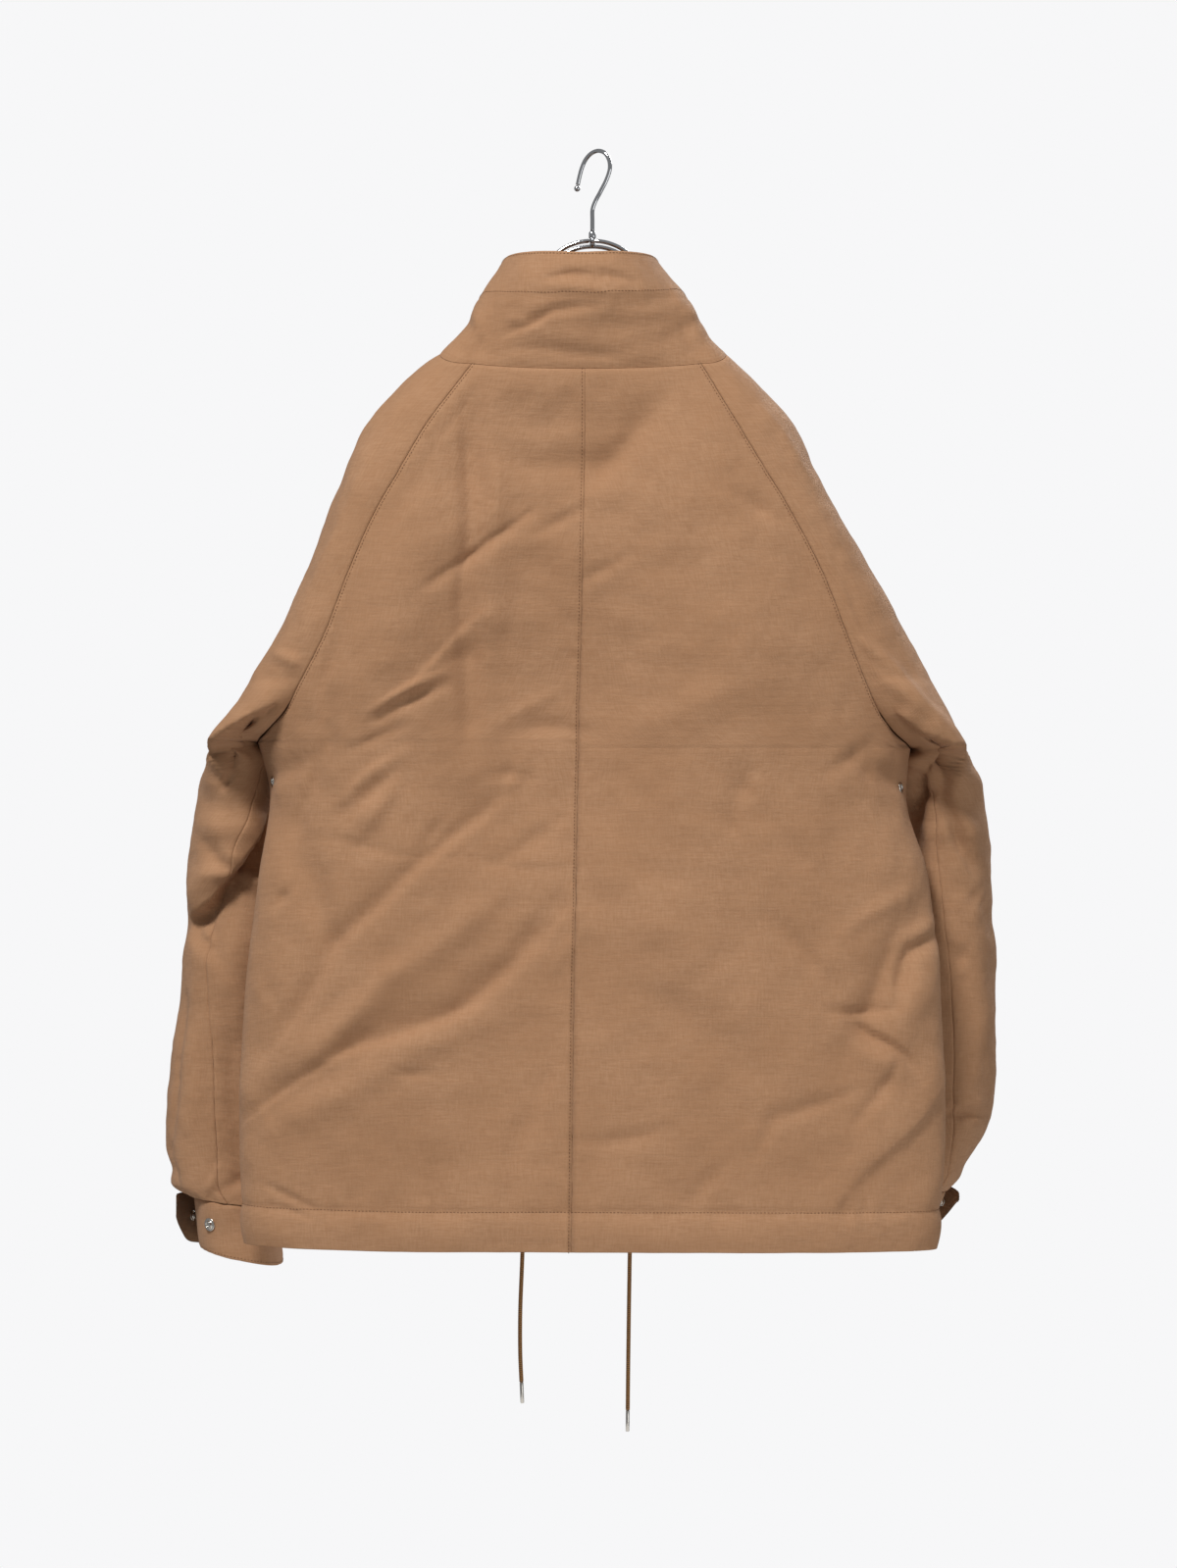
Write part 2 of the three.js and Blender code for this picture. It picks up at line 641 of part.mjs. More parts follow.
// A closed band all round a wrist: outer and inner points on rings from its top to its bottom
function band({ rows, columns, section, thickness }) {
  const position = [];
  const index = [];
  const rings = [];
  const ring = (down, inset) => {
    rings.push(position.length / 3);
    for (let c = 0; c < columns; c += 1) position.push(...section(down, c / columns, inset).toArray());
  };
  for (let r = 0; r <= rows; r += 1) ring(r / rows, 0);
  for (let r = rows; r >= 0; r -= 1) ring(r / rows, thickness);
  rings.forEach((from, k) => {
    const to = rings[(k + 1) % rings.length];
    for (let c = 0; c < columns; c += 1) {
      const d = (c + 1) % columns;
      index.push(from + c, to + c, from + d, from + d, to + c, to + d);
    }
  });
  const geometry = new THREE.BufferGeometry();
  geometry.setAttribute("position", new THREE.Float32BufferAttribute(position, 3));
  geometry.setIndex(index);
  return geometry;
}

// A point of the cuff, which starts as the sleeve's own lower end. Down is 0 at its seam and 1 at its
// hem, and share runs all round from +X.
function cuffPoint(side, down, share, inset) {
  const at = sleeve[side];
  const top = CUFF_TOP_Z[side];
  const halfX = (at("outer", top) - at("inner", top)) / 2 - inset;
  const halfY = at("halfY", top) - inset;
  const centreX = side * ((at("outer", top) + at("inner", top)) / 2);
  const angle = share * 2 * Math.PI;
  const cos = Math.cos(angle);
  const sin = Math.sin(angle);
  const tilt = side * cos * mix(CUFF_TOP_TILT[side], CUFF_HEM_TILT[side], down);
  return new THREE.Vector3(
    centreX + CUFF_LEAN[side] * down + halfX * Math.sign(cos) * Math.abs(cos) ** (2 / SLEEVE_POWER),
    at("centreY", top) + halfY * Math.sign(sin) * Math.abs(sin) ** (2 / SLEEVE_POWER),
    top - CUFF_GAP - CUFF_HEIGHT * down + tilt,
  );
}

function cuff(side) {
  return band({
    rows: 3,
    columns: CUFF_COLUMNS,
    section: (down, share, inset) => cuffPoint(side, down, share, inset),
    thickness: CUFF_CLOTH,
  });
}

// The free end of each cuff strap stands away from the cuff, so its underside shows from the back.
// reach is the way along the strap, out of the cuff's front face; top and bottom are its two edges.
const strap = {
  [LEFT]: [
    { x: -309, y: 98.1, top: -877, bottom: -912 },
    { x: -323, y: 96, top: -874, bottom: -914 },
    { x: -335, y: 85, top: -871, bottom: -913 },
    { x: -343, y: 70, top: -869, bottom: -909 },
    { x: -347.5, y: 56, top: -867.5, bottom: -897 },
    { x: -349, y: 44, top: -868, bottom: -887 },
  ],
  [RIGHT]: [
    { x: 270, y: 119.2, top: -870, bottom: -906 },
    { x: 284, y: 117, top: -868, bottom: -905 },
    { x: 295, y: 107, top: -867, bottom: -900 },
    { x: 303, y: 96, top: -866, bottom: -890 },
    { x: 308, y: 85, top: -867, bottom: -881 },
    { x: 311, y: 76, top: -870, bottom: -876 },
  ],
};

function cuffTab(side) {
  const line = strap[side];
  const outer = [];
  const inner = [];
  const rows = 3;
  line.forEach(({ x, y, top, bottom }, k) => {
    const before = line[Math.max(0, k - 1)];
    const after = line[Math.min(line.length - 1, k + 1)];
    const along = new THREE.Vector2(after.x - before.x, after.y - before.y).normalize();
    for (let r = 0; r <= rows; r += 1) {
      const z = mix(top, bottom, r / rows);
      outer.push(x - along.y * CLOTH * 0.5 * side, y + along.x * CLOTH * 0.5 * side, z);
      inner.push(x + along.y * CLOTH * 0.5 * side, y - along.x * CLOTH * 0.5 * side, z);
    }
  });
  return shell(outer, inner, line.length - 1, rows, side === LEFT);
}

// A socket on the underside of a strap, where the cuff's stud would go
function strapSocket(side) {
  const [a, b] = strap[side].slice(2, 4);
  const along = new THREE.Vector2(b.x - a.x, b.y - a.y).normalize();
  const normal = new THREE.Vector3(along.y * side, -along.x * side, 0);
  const place = new THREE.Vector3((a.x + b.x) / 2, (a.y + b.y) / 2, (a.top + a.bottom) / 2 + 2);
  return turned(ringStud(9), place.addScaledVector(normal, CLOTH / 2 + SURFACE_GAP + 0.2), normal, 12);
}

// A turned piece: its profile of radius and height is turned about an axis that points along normal
function turned(profile, place, normal, segments) {
  const points = profile.map(([radius, height]) => new THREE.Vector2(radius, height));
  const geometry = new THREE.LatheGeometry(points, segments);
  const turn = new THREE.Quaternion().setFromUnitVectors(new THREE.Vector3(0, 1, 0), normal.clone().normalize());
  geometry.applyQuaternion(turn);
  geometry.translate(place.x, place.y, place.z);
  return geometry;
}

// A domed snap cap and a stud with a hollow middle
const snapCap = (d) => [
  [0, 0],
  [d / 2, 0],
  [d / 2, 0.8],
  [d * 0.36, 1.8],
  [0, 2.2],
];
const ringStud = (d) => [
  [0, 0],
  [d / 2, 0],
  [d / 2, 0.7],
  [d * 0.3, 1.4],
  [d * 0.27, 3],
  [d * 0.16, 3],
  [d * 0.14, 1],
  [0, 1],
];
const eyelet = (d) => [
  [d * 0.28, 0],
  [d / 2, 0],
  [d / 2, 0.4],
  [d * 0.4, 1],
  [d * 0.28, 0.7],
  [d * 0.28, 0],
];

const FRONT_SNAPS = [-268, -415, -562, -709, -870];

function frontSnap(z) {
  const x = body("seam", z) - PLACKET_SHIFT;
  const y = Math.max(...[-8, -4, 0, 4, 8].map((d) => bodyFaceY(FRONT, x + d, z + d))) + 0.6 + CLOTH + SURFACE_GAP;
  return turned(snapCap(SNAP_DIAMETER), new THREE.Vector3(x, y, z), new THREE.Vector3(0, 1, 0), 14);
}

function collarSnap() {
  const up = 0.7;
  const point = collarPoint(up, 1);
  const above = collarPoint(up + 0.05, 1);
  const along = above.sub(point).normalize();
  const normal = new THREE.Vector3(0, along.z, -along.y);
  const lift = SURFACE_GAP + 0.5 + CLOTH * 1.2 + SURFACE_GAP;
  const place = new THREE.Vector3(point.x - PLACKET_SHIFT, point.y, point.z).addScaledVector(normal, lift);
  return turned(snapCap(SNAP_DIAMETER), place, normal, 14);
}

// A piece set on a cuff, at a share of the way round and of the way down
function onCuff(side, share, down, profile) {
  const place = cuffPoint(side, down, share, 0);
  const after = cuffPoint(side, down, share + 0.01, 0);
  const below = cuffPoint(side, down + 0.1, share, 0);
  const normal = after.sub(place).cross(below.sub(place)).normalize().negate();
  return turned(profile, place.addScaledVector(normal, SURFACE_GAP + 0.1), normal, 14);
}

function onBack(side, z, share, profile) {
  const point = bodySection(side, BACK, z, share);
  const normal = sectionNormal((h, s) => bodySection(side, BACK, h, s), z, share, -side);
  const lift = foldHeight(BACK, point.x, z) + SURFACE_GAP + 0.5;
  const place = new THREE.Vector3(point.x + normal.x * lift, point.y + normal.y * lift, z);
  return turned(profile, place, new THREE.Vector3(normal.x, normal.y, 0), 14);
}

// A round bar along a path of points
function rod(path, diameter, steps, sides) {
  const curve = new THREE.CatmullRomCurve3(path.map((point) => new THREE.Vector3(...point)));
  const circle = new THREE.Shape();
  for (let k = 0; k < sides; k += 1) {
    const angle = (2 * Math.PI * k) / sides;
    const at = [(diameter / 2) * Math.cos(angle), (diameter / 2) * Math.sin(angle)];
    if (k === 0) circle.moveTo(...at);
    else circle.lineTo(...at);
  }
  return new THREE.ExtrudeGeometry(circle, { steps, extrudePath: curve, bevelEnabled: false });
}

// The drawcord leaves the hem through an eyelet on each side of the placket and hangs free
const CORD = {
  [LEFT]: [
    [-58, 54.4, -886],
    [-58, 62, -886.8],
    [-58, 66.5, -890],
    [-58.3, 69, -896],
    [-58.6, 70, -905],
    [-59.5, 70.5, -930],
    [-61, 70.5, -970],
    [-61, 70, -1005],
    [-60, 70, -1029],
  ],
  [RIGHT]: [
    [32, 54.4, -886],
    [32, 62, -886.8],
    [32, 66.5, -890],
    [32, 69, -896],
    [32, 70, -905],
    [31.6, 70.5, -930],
    [31, 70.5, -970],
    [30.4, 70, -1015],
    [30, 70, -1053],
  ],
};

function cordTip(side) {
  const line = CORD[side];
  const end = new THREE.Vector3(...line[line.length - 1]);
  const down = end.clone().sub(new THREE.Vector3(...line[line.length - 2])).normalize();
  const profile = [
    [0, 0],
    [TIP_DIAMETER / 2, 0],
    [TIP_DIAMETER / 2, TIP_LENGTH - 1],
    [TIP_DIAMETER / 2 - 1, TIP_LENGTH],
    [0, TIP_LENGTH],
  ];
  return turned(profile, end.addScaledVector(down, SEAM_GAP), down, 12);
}

function hemEyelet(side) {
  const x = CORD[side][0][0];
  const z = CORD[side][0][2];
  const y = bodyFaceY(FRONT, x, z) + foldHeight(FRONT, x, z) + SURFACE_GAP + 0.4;
  return turned(eyelet(13), new THREE.Vector3(x, y, z), new THREE.Vector3(0, 1, 0), 14);
}

// The hook is a bent wire in an upright plane that is turned, so that its open side is away from the back
const HOOK_TURN = THREE.MathUtils.degToRad(33);
const HOOK = [
  { across: -15.3, z: -25 },
  { across: -13.6, z: -18 },
  { across: -11.3, z: -11 },
  { across: -7.6, z: -4.5 },
  { across: -2, z: 0.2 },
  { across: 5, z: 1.75 },
  { across: 11.5, z: -0.8 },
  { across: 15.6, z: -7 },
  { across: 16.3, z: -14 },
  { across: 13.6, z: -22 },
  { across: 7.8, z: -32 },
  { across: 2.2, z: -41 },
  { across: 0, z: -47 },
  { across: 0, z: -56 },
  { across: 0, z: -64.8 },
];

function hookPoint({ across, z }) {
  return [HOOK_TOP_X * (1 - Math.cos(HOOK_TURN)) * smooth((z + 60) / 50) + across * Math.cos(HOOK_TURN),
    -across * Math.sin(HOOK_TURN) + HOOK_TOP_X * Math.sin(HOOK_TURN) * smooth((z + 60) / 50), z];
}

function hookBall() {
  const [x, y, z] = hookPoint(HOOK[0]);
  const ball = new THREE.SphereGeometry(2.6, 12, 8);
  ball.translate(x - 0.4, y + 0.2, z - 2.9);
  return ball;
}

// The stem's nut stands on a short bar that joins the two wires of the frame
const FRAME_HALF_DEPTH = 17;
const FRAME_TOP_Z = -75.3;

function hangerNut() {
  const profile = [
    [0, 0],
    [3, 0],
    [3, 5],
    [2.2, 5.6],
    [0, 5.6],
  ];
  return turned(profile, new THREE.Vector3(0, 0, -70.8), new THREE.Vector3(0, 0, 1), 12);
}

function hangerBar() {
  const half = FRAME_HALF_DEPTH - WIRE_DIAMETER / 2 - SEAM_GAP;
  const bar = new THREE.CylinderGeometry(2.2, 2.2, 2 * half, 10);
  bar.translate(0, 0, FRAME_TOP_Z + 1.7);
  return bar;
}

// Half of the frame's outline, from the middle of the arch to the tip of the arm
const FRAME = {
  [LEFT]: [
    [0, -75.3],
    [13, -77],
    [26, -83],
    [37, -94],
    [44, -109],
    [52, -128],
    [66, -147],
    [85.6, -160.4],
    [107.4, -171.5],
    [127.3, -181.6],
    [145.2, -194.7],
    [161.1, -211.5],
    [171.1, -225.5],
  ],
  [RIGHT]: [
    [0, -75.3],
    [13, -77],
    [26, -83],
    [37, -94],
    [44, -109],
    [50, -128],
    [61, -146],
    [77, -158.7],
    [95.2, -168.6],
    [111.3, -179.7],
    [126.4, -193.8],
    [142.5, -212],
    [152.6, -225],
  ],
};

function hangerFrame() {
  const run = (side, y) => FRAME[side].map(([x, z]) => new THREE.Vector3(side * x, y, z));
  const tip = (side) => {
    const [[x0, z0], [x1, z1]] = FRAME[side].slice(-2);
    const length = Math.hypot(x1 - x0, z1 - z0);
    const at = (along, y) =>
      new THREE.Vector3(side * (x1 + ((x1 - x0) / length) * along), y, z1 + ((z1 - z0) / length) * along);
    return [at(7, -15), at(12, -8), at(14, 0), at(12, 8), at(7, 15)];
  };
  const points = [
    ...run(RIGHT, -FRAME_HALF_DEPTH),
    ...tip(RIGHT),
    ...run(RIGHT, FRAME_HALF_DEPTH).reverse(),
    ...run(LEFT, FRAME_HALF_DEPTH).slice(1),
    ...tip(LEFT).reverse(),
    ...run(LEFT, -FRAME_HALF_DEPTH).reverse().slice(0, -1),
  ];
  const path = new THREE.CatmullRomCurve3(points, true);
  return new THREE.TubeGeometry(path, 110, WIRE_DIAMETER / 2, 7, true);
}

for (const [side, word] of [
  [LEFT, "left"],
  [RIGHT, "right"],
]) {
  add("back_" + word, bodyPanel(side, BACK), TAN);
  add("front_" + word, bodyPanel(side, FRONT), TAN);
  add("sleeve_" + word, raglanSleeve(side), TAN);
  add("cuff_" + word, cuff(side), TAN);
  add("cuff_tab_" + word, cuffTab(side), DARK_TAN);
  add("cuff_socket_" + word, strapSocket(side), NICKEL);
  add("hem_eyelet_" + word, hemEyelet(side), NICKEL);
  add("cord_" + word, rod(CORD[side], CORD_DIAMETER, 22, 8), CORD_BROWN);
  add("cord_tip_" + word, cordTip(side), NICKEL);
}
add("vent_eyelet_left", onBack(LEFT, -521, 0.91, eyelet(10)), NICKEL);
add("vent_eyelet_right", onBack(RIGHT, -525, 0.88, eyelet(10)), NICKEL);
add("cuff_stud_left", onCuff(LEFT, 0.66, 0.45, ringStud(STUD_DIAMETER)), NICKEL);
add("cuff_stud_right", onCuff(RIGHT, 0.92, 0.4, ringStud(STUD_DIAMETER)), NICKEL);
add("collar", collar(), TAN);
add("collar_placket", collarPlacket(), TAN);
add("front_placket", frontPlacket(), TAN);
FRONT_SNAPS.forEach((z, k) => add("front_snap_" + (k + 1), frontSnap(z), NICKEL));
add("collar_snap", collarSnap(), NICKEL);
add("hanger_hook", rod(HOOK.map(hookPoint), WIRE_DIAMETER, 44, 9), CHROME);
add("hanger_ball", hookBall(), CHROME);
add("hanger_nut", hangerNut(), CHROME);
add("hanger_bar", hangerBar(), CHROME);
add("hanger_frame", hangerFrame(), CHROME);

export default jacket;
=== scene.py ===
# A tan cotton field jacket on a chrome wire hanger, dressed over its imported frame.
# The jacket's back faces -Y, where the photograph's camera stands. Sizes below are in millimetres unless
# a name says otherwise, and are turned to metres where a mesh is made.
import math

import bpy
import numpy as np
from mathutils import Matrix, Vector, noise
from mathutils.kdtree import KDTree


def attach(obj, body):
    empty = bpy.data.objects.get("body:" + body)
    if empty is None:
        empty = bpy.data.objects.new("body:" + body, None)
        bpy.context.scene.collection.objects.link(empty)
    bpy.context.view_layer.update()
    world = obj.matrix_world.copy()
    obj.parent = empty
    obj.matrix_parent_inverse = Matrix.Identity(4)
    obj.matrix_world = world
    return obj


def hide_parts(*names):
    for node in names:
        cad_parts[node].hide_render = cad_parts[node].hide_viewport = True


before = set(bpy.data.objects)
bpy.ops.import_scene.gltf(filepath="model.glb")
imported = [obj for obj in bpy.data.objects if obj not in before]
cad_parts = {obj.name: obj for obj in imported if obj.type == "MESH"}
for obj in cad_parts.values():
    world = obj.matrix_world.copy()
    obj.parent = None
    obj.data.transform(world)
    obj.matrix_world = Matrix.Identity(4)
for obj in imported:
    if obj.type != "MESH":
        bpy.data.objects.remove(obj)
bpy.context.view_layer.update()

# The camera stands 3.2 m behind the jacket, level with the middle of its back. Its lens gives the
# photograph's framing, where the jacket fills three quarters of the width.
CAMERA_PLACE = (-0.0082, -3.2, -0.523)
CAMERA_LENS = 88.65
SENSOR_WIDTH = 36


def add_object(name, data):
    made = bpy.data.objects.new(name, data)
    bpy.context.collection.objects.link(made)
    return made


camera = add_object("camera", bpy.data.cameras.new("camera"))
camera.data.lens = CAMERA_LENS
camera.data.sensor_width = SENSOR_WIDTH
camera.location = CAMERA_PLACE
camera.rotation_euler = (math.pi / 2, 0, 0)
bpy.context.scene.camera = camera


# A pale painted floor well under the cords, plain and matt.
FLOOR_Z = -1.30
FLOOR_HALF = 0.6


# Colours are written as in a paint list and turned to the linear values that the shaders work in
def colour(hex_value):
    channels = [int(hex_value[i : i + 2], 16) / 255 for i in (1, 3, 5)]
    linear = [c / 12.92 if c <= 0.04045 else ((c + 0.055) / 1.055) ** 2.4 for c in channels]
    return (*linear, 1.0)


# Adds a node with its settings, and its inputs as values or as links from other nodes' outputs
def add_node(tree, kind, inputs=None, **settings):
    node = tree.nodes.new(kind)
    for name, value in settings.items():
        setattr(node, name, value)
    for name, value in (inputs or {}).items():
        if isinstance(value, bpy.types.NodeSocket):
            tree.links.new(value, node.inputs[name])
        else:
            node.inputs[name].default_value = value
    return node


def new_material(name):
    made = bpy.data.materials.new(name)
    made.use_nodes = True
    made.node_tree.nodes.clear()
    return made, made.node_tree


# Ends a material with one surface shader that has the given looks
def finish_material(tree, looks):
    shader = add_node(tree, "ShaderNodeBsdfPrincipled", looks)
    add_node(tree, "ShaderNodeOutputMaterial", {"Surface": shader.outputs[0]})


# A noise pattern, drawn in the given coordinates, and a mix of two colours
def speckles(tree, scale, detail, where=None):
    inputs = {"Scale": scale, "Detail": detail}
    if where is not None:
        inputs["Vector"] = where
    return add_node(tree, "ShaderNodeTexNoise", inputs).outputs["Fac"]


def blend(tree, share, first, second):
    return add_node(tree, "ShaderNodeMixRGB", {"Fac": share, "Color1": first, "Color2": second}).outputs[0]


floor_paint, tree = new_material("floor_matt_paint")
shade = blend(tree, speckles(tree, 9.0, 3.0), colour("#E9E8E6"), colour("#E3E2E0"))
finish_material(tree, {"Base Color": shade, "Roughness": 0.8})

floor_mesh = bpy.data.meshes.new("floor")
corners = [(x * FLOOR_HALF, y * FLOOR_HALF, FLOOR_Z) for x, y in ((-1, -1), (1, -1), (1, 1), (-1, 1))]
floor_mesh.from_pydata(corners, [], [(0, 1, 2, 3)])
floor_mesh.materials.append(floor_paint)
floor = add_object("floor", floor_mesh)


# Plain soft studio light: a white backdrop, a dimmer even surround, a large soft box high to the left of
# the camera, and weak ones low to its right and before the jacket's front.
BACKDROP_STRENGTH = 1.0
SURROUND_STRENGTH = 0.29
LIGHT_AIM = (0, 0, -0.5)

world = bpy.data.worlds.new("studio")
world.use_nodes = True
tree = world.node_tree
tree.nodes.clear()
ray = add_node(tree, "ShaderNodeLightPath")
strength = add_node(
    tree, "ShaderNodeMapRange",
    {"Value": ray.outputs["Is Camera Ray"], "To Min": SURROUND_STRENGTH, "To Max": BACKDROP_STRENGTH},
)
studio = add_node(tree, "ShaderNodeBackground", {"Color": colour("#F7F7F8"), "Strength": strength.outputs[0]})
add_node(tree, "ShaderNodeOutputWorld", {"Surface": studio.outputs[0]})
bpy.context.scene.world = world
bpy.context.scene.view_settings.view_transform = "Standard"

SOFT_BOXES = {
    "key": {"place": (-1.5, -3.2, 3.6), "size": 1.2, "watts": 280},
    "fill": {"place": (1.8, -1.8, -0.9), "size": 1.6, "watts": 13},
    "front_key": {"place": (1.4, 2.4, 1.2), "size": 1.2, "watts": 55},
}
for name, box in SOFT_BOXES.items():
    light = add_object(name, bpy.data.lights.new(name, "AREA"))
    light.data.size = box["size"]
    light.data.energy = box["watts"]
    light.location = box["place"]
    aim = Vector(LIGHT_AIM) - light.location
    light.rotation_euler = aim.to_track_quat("-Z", "Y").to_euler()


# The drawcords: two ends of one 3.7 mm braided cotton cord, tan and brown, that leave the hem through an
# eyelet on each side of the front strip and hang free. Each end is crimped into a nickel tube.
LEFT, RIGHT = -1, 1
SIDES = {LEFT: "left", RIGHT: "right"}
MM = 0.001
HOOK_TOP_X = 5  # the tables measure x from the hanger's stem, and the hook's top is this far to the right
CORD_DIAMETER = 3.7
CORD_RINGS_APART = 0.8
CORD_SIDES = 20
BRAID_PITCH = 7.0
BRAID_RELIEF = 0.28
BRAID_STRANDS = 4
BRAID_ROUND = 10  # once round the cord, in the units of its drawn pattern
TIP_DIAMETER = 3.2
TIP_LENGTH = 18
TIP_GAP = 0.3
TIP_SIDES = 24
CORD_ROUTE = {
    LEFT: [
        (-58, 54.4, -886), (-58, 62, -886.8), (-58, 66.5, -890), (-58.3, 69, -896), (-58.6, 70, -905),
        (-59.5, 70.5, -930), (-61, 70.5, -970), (-61, 70, -1005), (-60, 70, -1029),
    ],
    RIGHT: [
        (32, 54.4, -886), (32, 62, -886.8), (32, 66.5, -890), (32, 69, -896), (32, 70, -905),
        (31.6, 70.5, -930), (31, 70.5, -970), (30.4, 70, -1015), (30, 70, -1053),
    ],
}


# Points along a smooth line through given points, as the bent wires and cords follow it
def smooth_line(points, step, closed=False):
    given = [Vector(p) for p in points]
    count = len(given)
    line = []
    for i in range(count if closed else count - 1):
        p1, p2 = given[i], given[(i + 1) % count]
        p0 = given[i - 1] if closed or i > 0 else p1 * 2 - p2
        p3 = given[(i + 2) % count] if closed or i + 2 < count else p2 * 2 - p1
        parts = max(2, round((p2 - p1).length / step))
        t0 = 0.0
        t1 = t0 + math.sqrt((p1 - p0).length)
        t2 = t1 + math.sqrt((p2 - p1).length)
        t3 = t2 + math.sqrt((p3 - p2).length)
        for k in range(parts):
            t = t1 + (t2 - t1) * k / parts
            a1 = p0.lerp(p1, (t - t0) / (t1 - t0))
            a2 = p1.lerp(p2, (t - t1) / (t2 - t1))
            a3 = p2.lerp(p3, (t - t2) / (t3 - t2))
            b1 = a1.lerp(a2, (t - t0) / (t2 - t0))
            b2 = a2.lerp(a3, (t - t1) / (t3 - t1))
            line.append(b1.lerp(b2, (t - t1) / (t2 - t1)))
    if not closed:
        line.append(given[-1])
    return line


def in_metres(points):
    return [((x - HOOK_TOP_X) * MM, y * MM, z * MM) for x, y, z in points]


# Makes a mesh object at the origin from points in millimetres, measured from the hanger's stem
def make_piece(name, points, faces, material, uv=None):
    mesh = bpy.data.meshes.new(name)
    mesh.from_pydata(in_metres(points), [], faces)
    mesh.materials.append(material)
    mesh.polygons.foreach_set("use_smooth", [True] * len(mesh.polygons))
    if uv is not None:
        layer = mesh.uv_layers.new(name="cloth_mm")
        corner = np.zeros(len(mesh.loops), np.int32)
        mesh.loops.foreach_get("vertex_index", corner)
        layer.data.foreach_set("uv", (np.asarray(uv, np.float32)[corner] * MM).ravel())
    mesh.update()
    return add_object(name, mesh)


# A round bar along a line. radius may change with the length along it and with the angle round it.
def bar_along(name, line, radius, sides, material, closed=False):
    points, faces, uv = [], [], []
    count = len(line)
    side = Vector((1, 0, 0))
    length = 0.0
    for i, place in enumerate(line):
        after = line[(i + 1) % count] if closed or i + 1 < count else place
        before = line[i - 1] if closed or i > 0 else place
        along = (after - before).normalized()
        side = (side - along * side.dot(along)).normalized()
        other = along.cross(side)
        length += (place - line[i - 1]).length if i else 0.0
        for k in range(sides):
            angle = 2 * math.pi * k / sides
            out = side * math.cos(angle) + other * math.sin(angle)
            points.append(place + out * radius(length, angle))
            uv.append((angle / (2 * math.pi) * BRAID_ROUND, length))
    for i in range(count if closed else count - 1):
        j = (i + 1) % count
        for k in range(sides):
            m = (k + 1) % sides
            faces.append((i * sides + k, i * sides + m, j * sides + m, j * sides + k))
    if not closed:
        for i, turn in ((0, -1), (count - 1, 1)):
            ring = [i * sides + k for k in range(sides)]
            faces.append(tuple(ring[::turn]))
    return make_piece(name, points, faces, material, uv=uv)


# One step of arithmetic in a node tree
def maths(tree, operation, *values):
    return add_node(tree, "ShaderNodeMath", dict(enumerate(values)), operation=operation).outputs[0]


# Braided cotton cord: dull, with dark brown strands crossing tan ones and soft fuzz. The strands' zigzag
# is drawn from the cord's own length and angle.
def braided_cord():
    made, tree = new_material("braided_cotton_cord")
    pattern = add_node(tree, "ShaderNodeUVMap", uv_map="cloth_mm")
    part = add_node(tree, "ShaderNodeSeparateXYZ", {"Vector": pattern.outputs[0]})
    strands = []
    for turn in (1, -1):
        turns_round = turn * 2 * math.pi * BRAID_STRANDS / (BRAID_ROUND * MM)
        across = maths(tree, "MULTIPLY", part.outputs["X"], turns_round)
        along = maths(tree, "MULTIPLY", part.outputs["Y"], 2 * math.pi / (BRAID_PITCH / 2 * MM))
        strands.append(maths(tree, "SINE", maths(tree, "ADD", across, along)))
    ramp = add_node(tree, "ShaderNodeValToRGB", {"Fac": maths(tree, "MULTIPLY", *strands)})
    ends = ramp.color_ramp.elements
    ends[0].position = 0.0
    ends[0].color = colour("#6A4522")
    ends[1].position = 0.45
    ends[1].color = colour("#B88A52")
    finish_material(tree, {"Base Color": ramp.outputs[0], "Roughness": 0.85, "Sheen Weight": 0.15})
    return made


# Reads a value between two limits as a share of the way between two others
def spread(tree, value, limits, to=(0.0, 1.0)):
    ends = {"From Min": limits[0], "From Max": limits[1], "To Min": to[0], "To Max": to[1]}
    return add_node(tree, "ShaderNodeMapRange", {"Value": value, **ends}).outputs[0]


# Plated metal: bright and polished, with a faint haze or drawing lines in its roughness
def plated(name, tint, fineness, smoothest, roughest):
    made, tree = new_material(name)
    place = add_node(tree, "ShaderNodeTexCoord").outputs["Object"]
    rough = spread(tree, speckles(tree, fineness, 2.0, place), (0.0, 1.0), (smoothest, roughest))
    finish_material(tree, {"Base Color": colour(tint), "Metallic": 1.0, "Roughness": rough})
    return made


# A turned piece: its profile of radius and height is spun about an axis that points along normal
def turned(name, profile, place, normal, material, segments):
    closed = profile[0] == profile[-1]
    turn = Vector((0, 0, 1)).rotation_difference(Vector(normal)).to_matrix()
    points = []
    rings = []
    for radius, height in profile[:-1] if closed else profile:
        ring = []
        for k in range(segments if radius > 0 else 1):
            angle = 2 * math.pi * k / segments
            out = Vector((radius * math.cos(angle), radius * math.sin(angle), height))
            ring.append(len(points))
            points.append(Vector(place) + turn @ out)
        rings.append(ring)
    faces = []
    for low, high in zip(rings, rings[1:] + rings[:1] if closed else rings[1:]):
        for k in range(segments):
            m = (k + 1) % segments
            quad = [low[k % len(low)], low[m % len(low)], high[m % len(high)], high[k % len(high)]]
            faces.append(tuple(dict.fromkeys(quad)))
    piece = make_piece(name, points, faces, material)
    piece.data.validate()
    return piece


def braid_radius(length, angle):
    along = 2 * math.pi * length / (BRAID_PITCH / 2)
    weave = math.sin(along + BRAID_STRANDS * angle) * math.sin(along - BRAID_STRANDS * angle)
    return CORD_DIAMETER / 2 - BRAID_RELIEF * (0.5 - 0.5 * weave)


BRAIDED_CORD = braided_cord()
# Nickel plate on brass: slightly yellow, with a fine haze
NICKEL = plated("nickel_plated_brass", "#CFCBC4", 900.0, 0.16, 0.3)

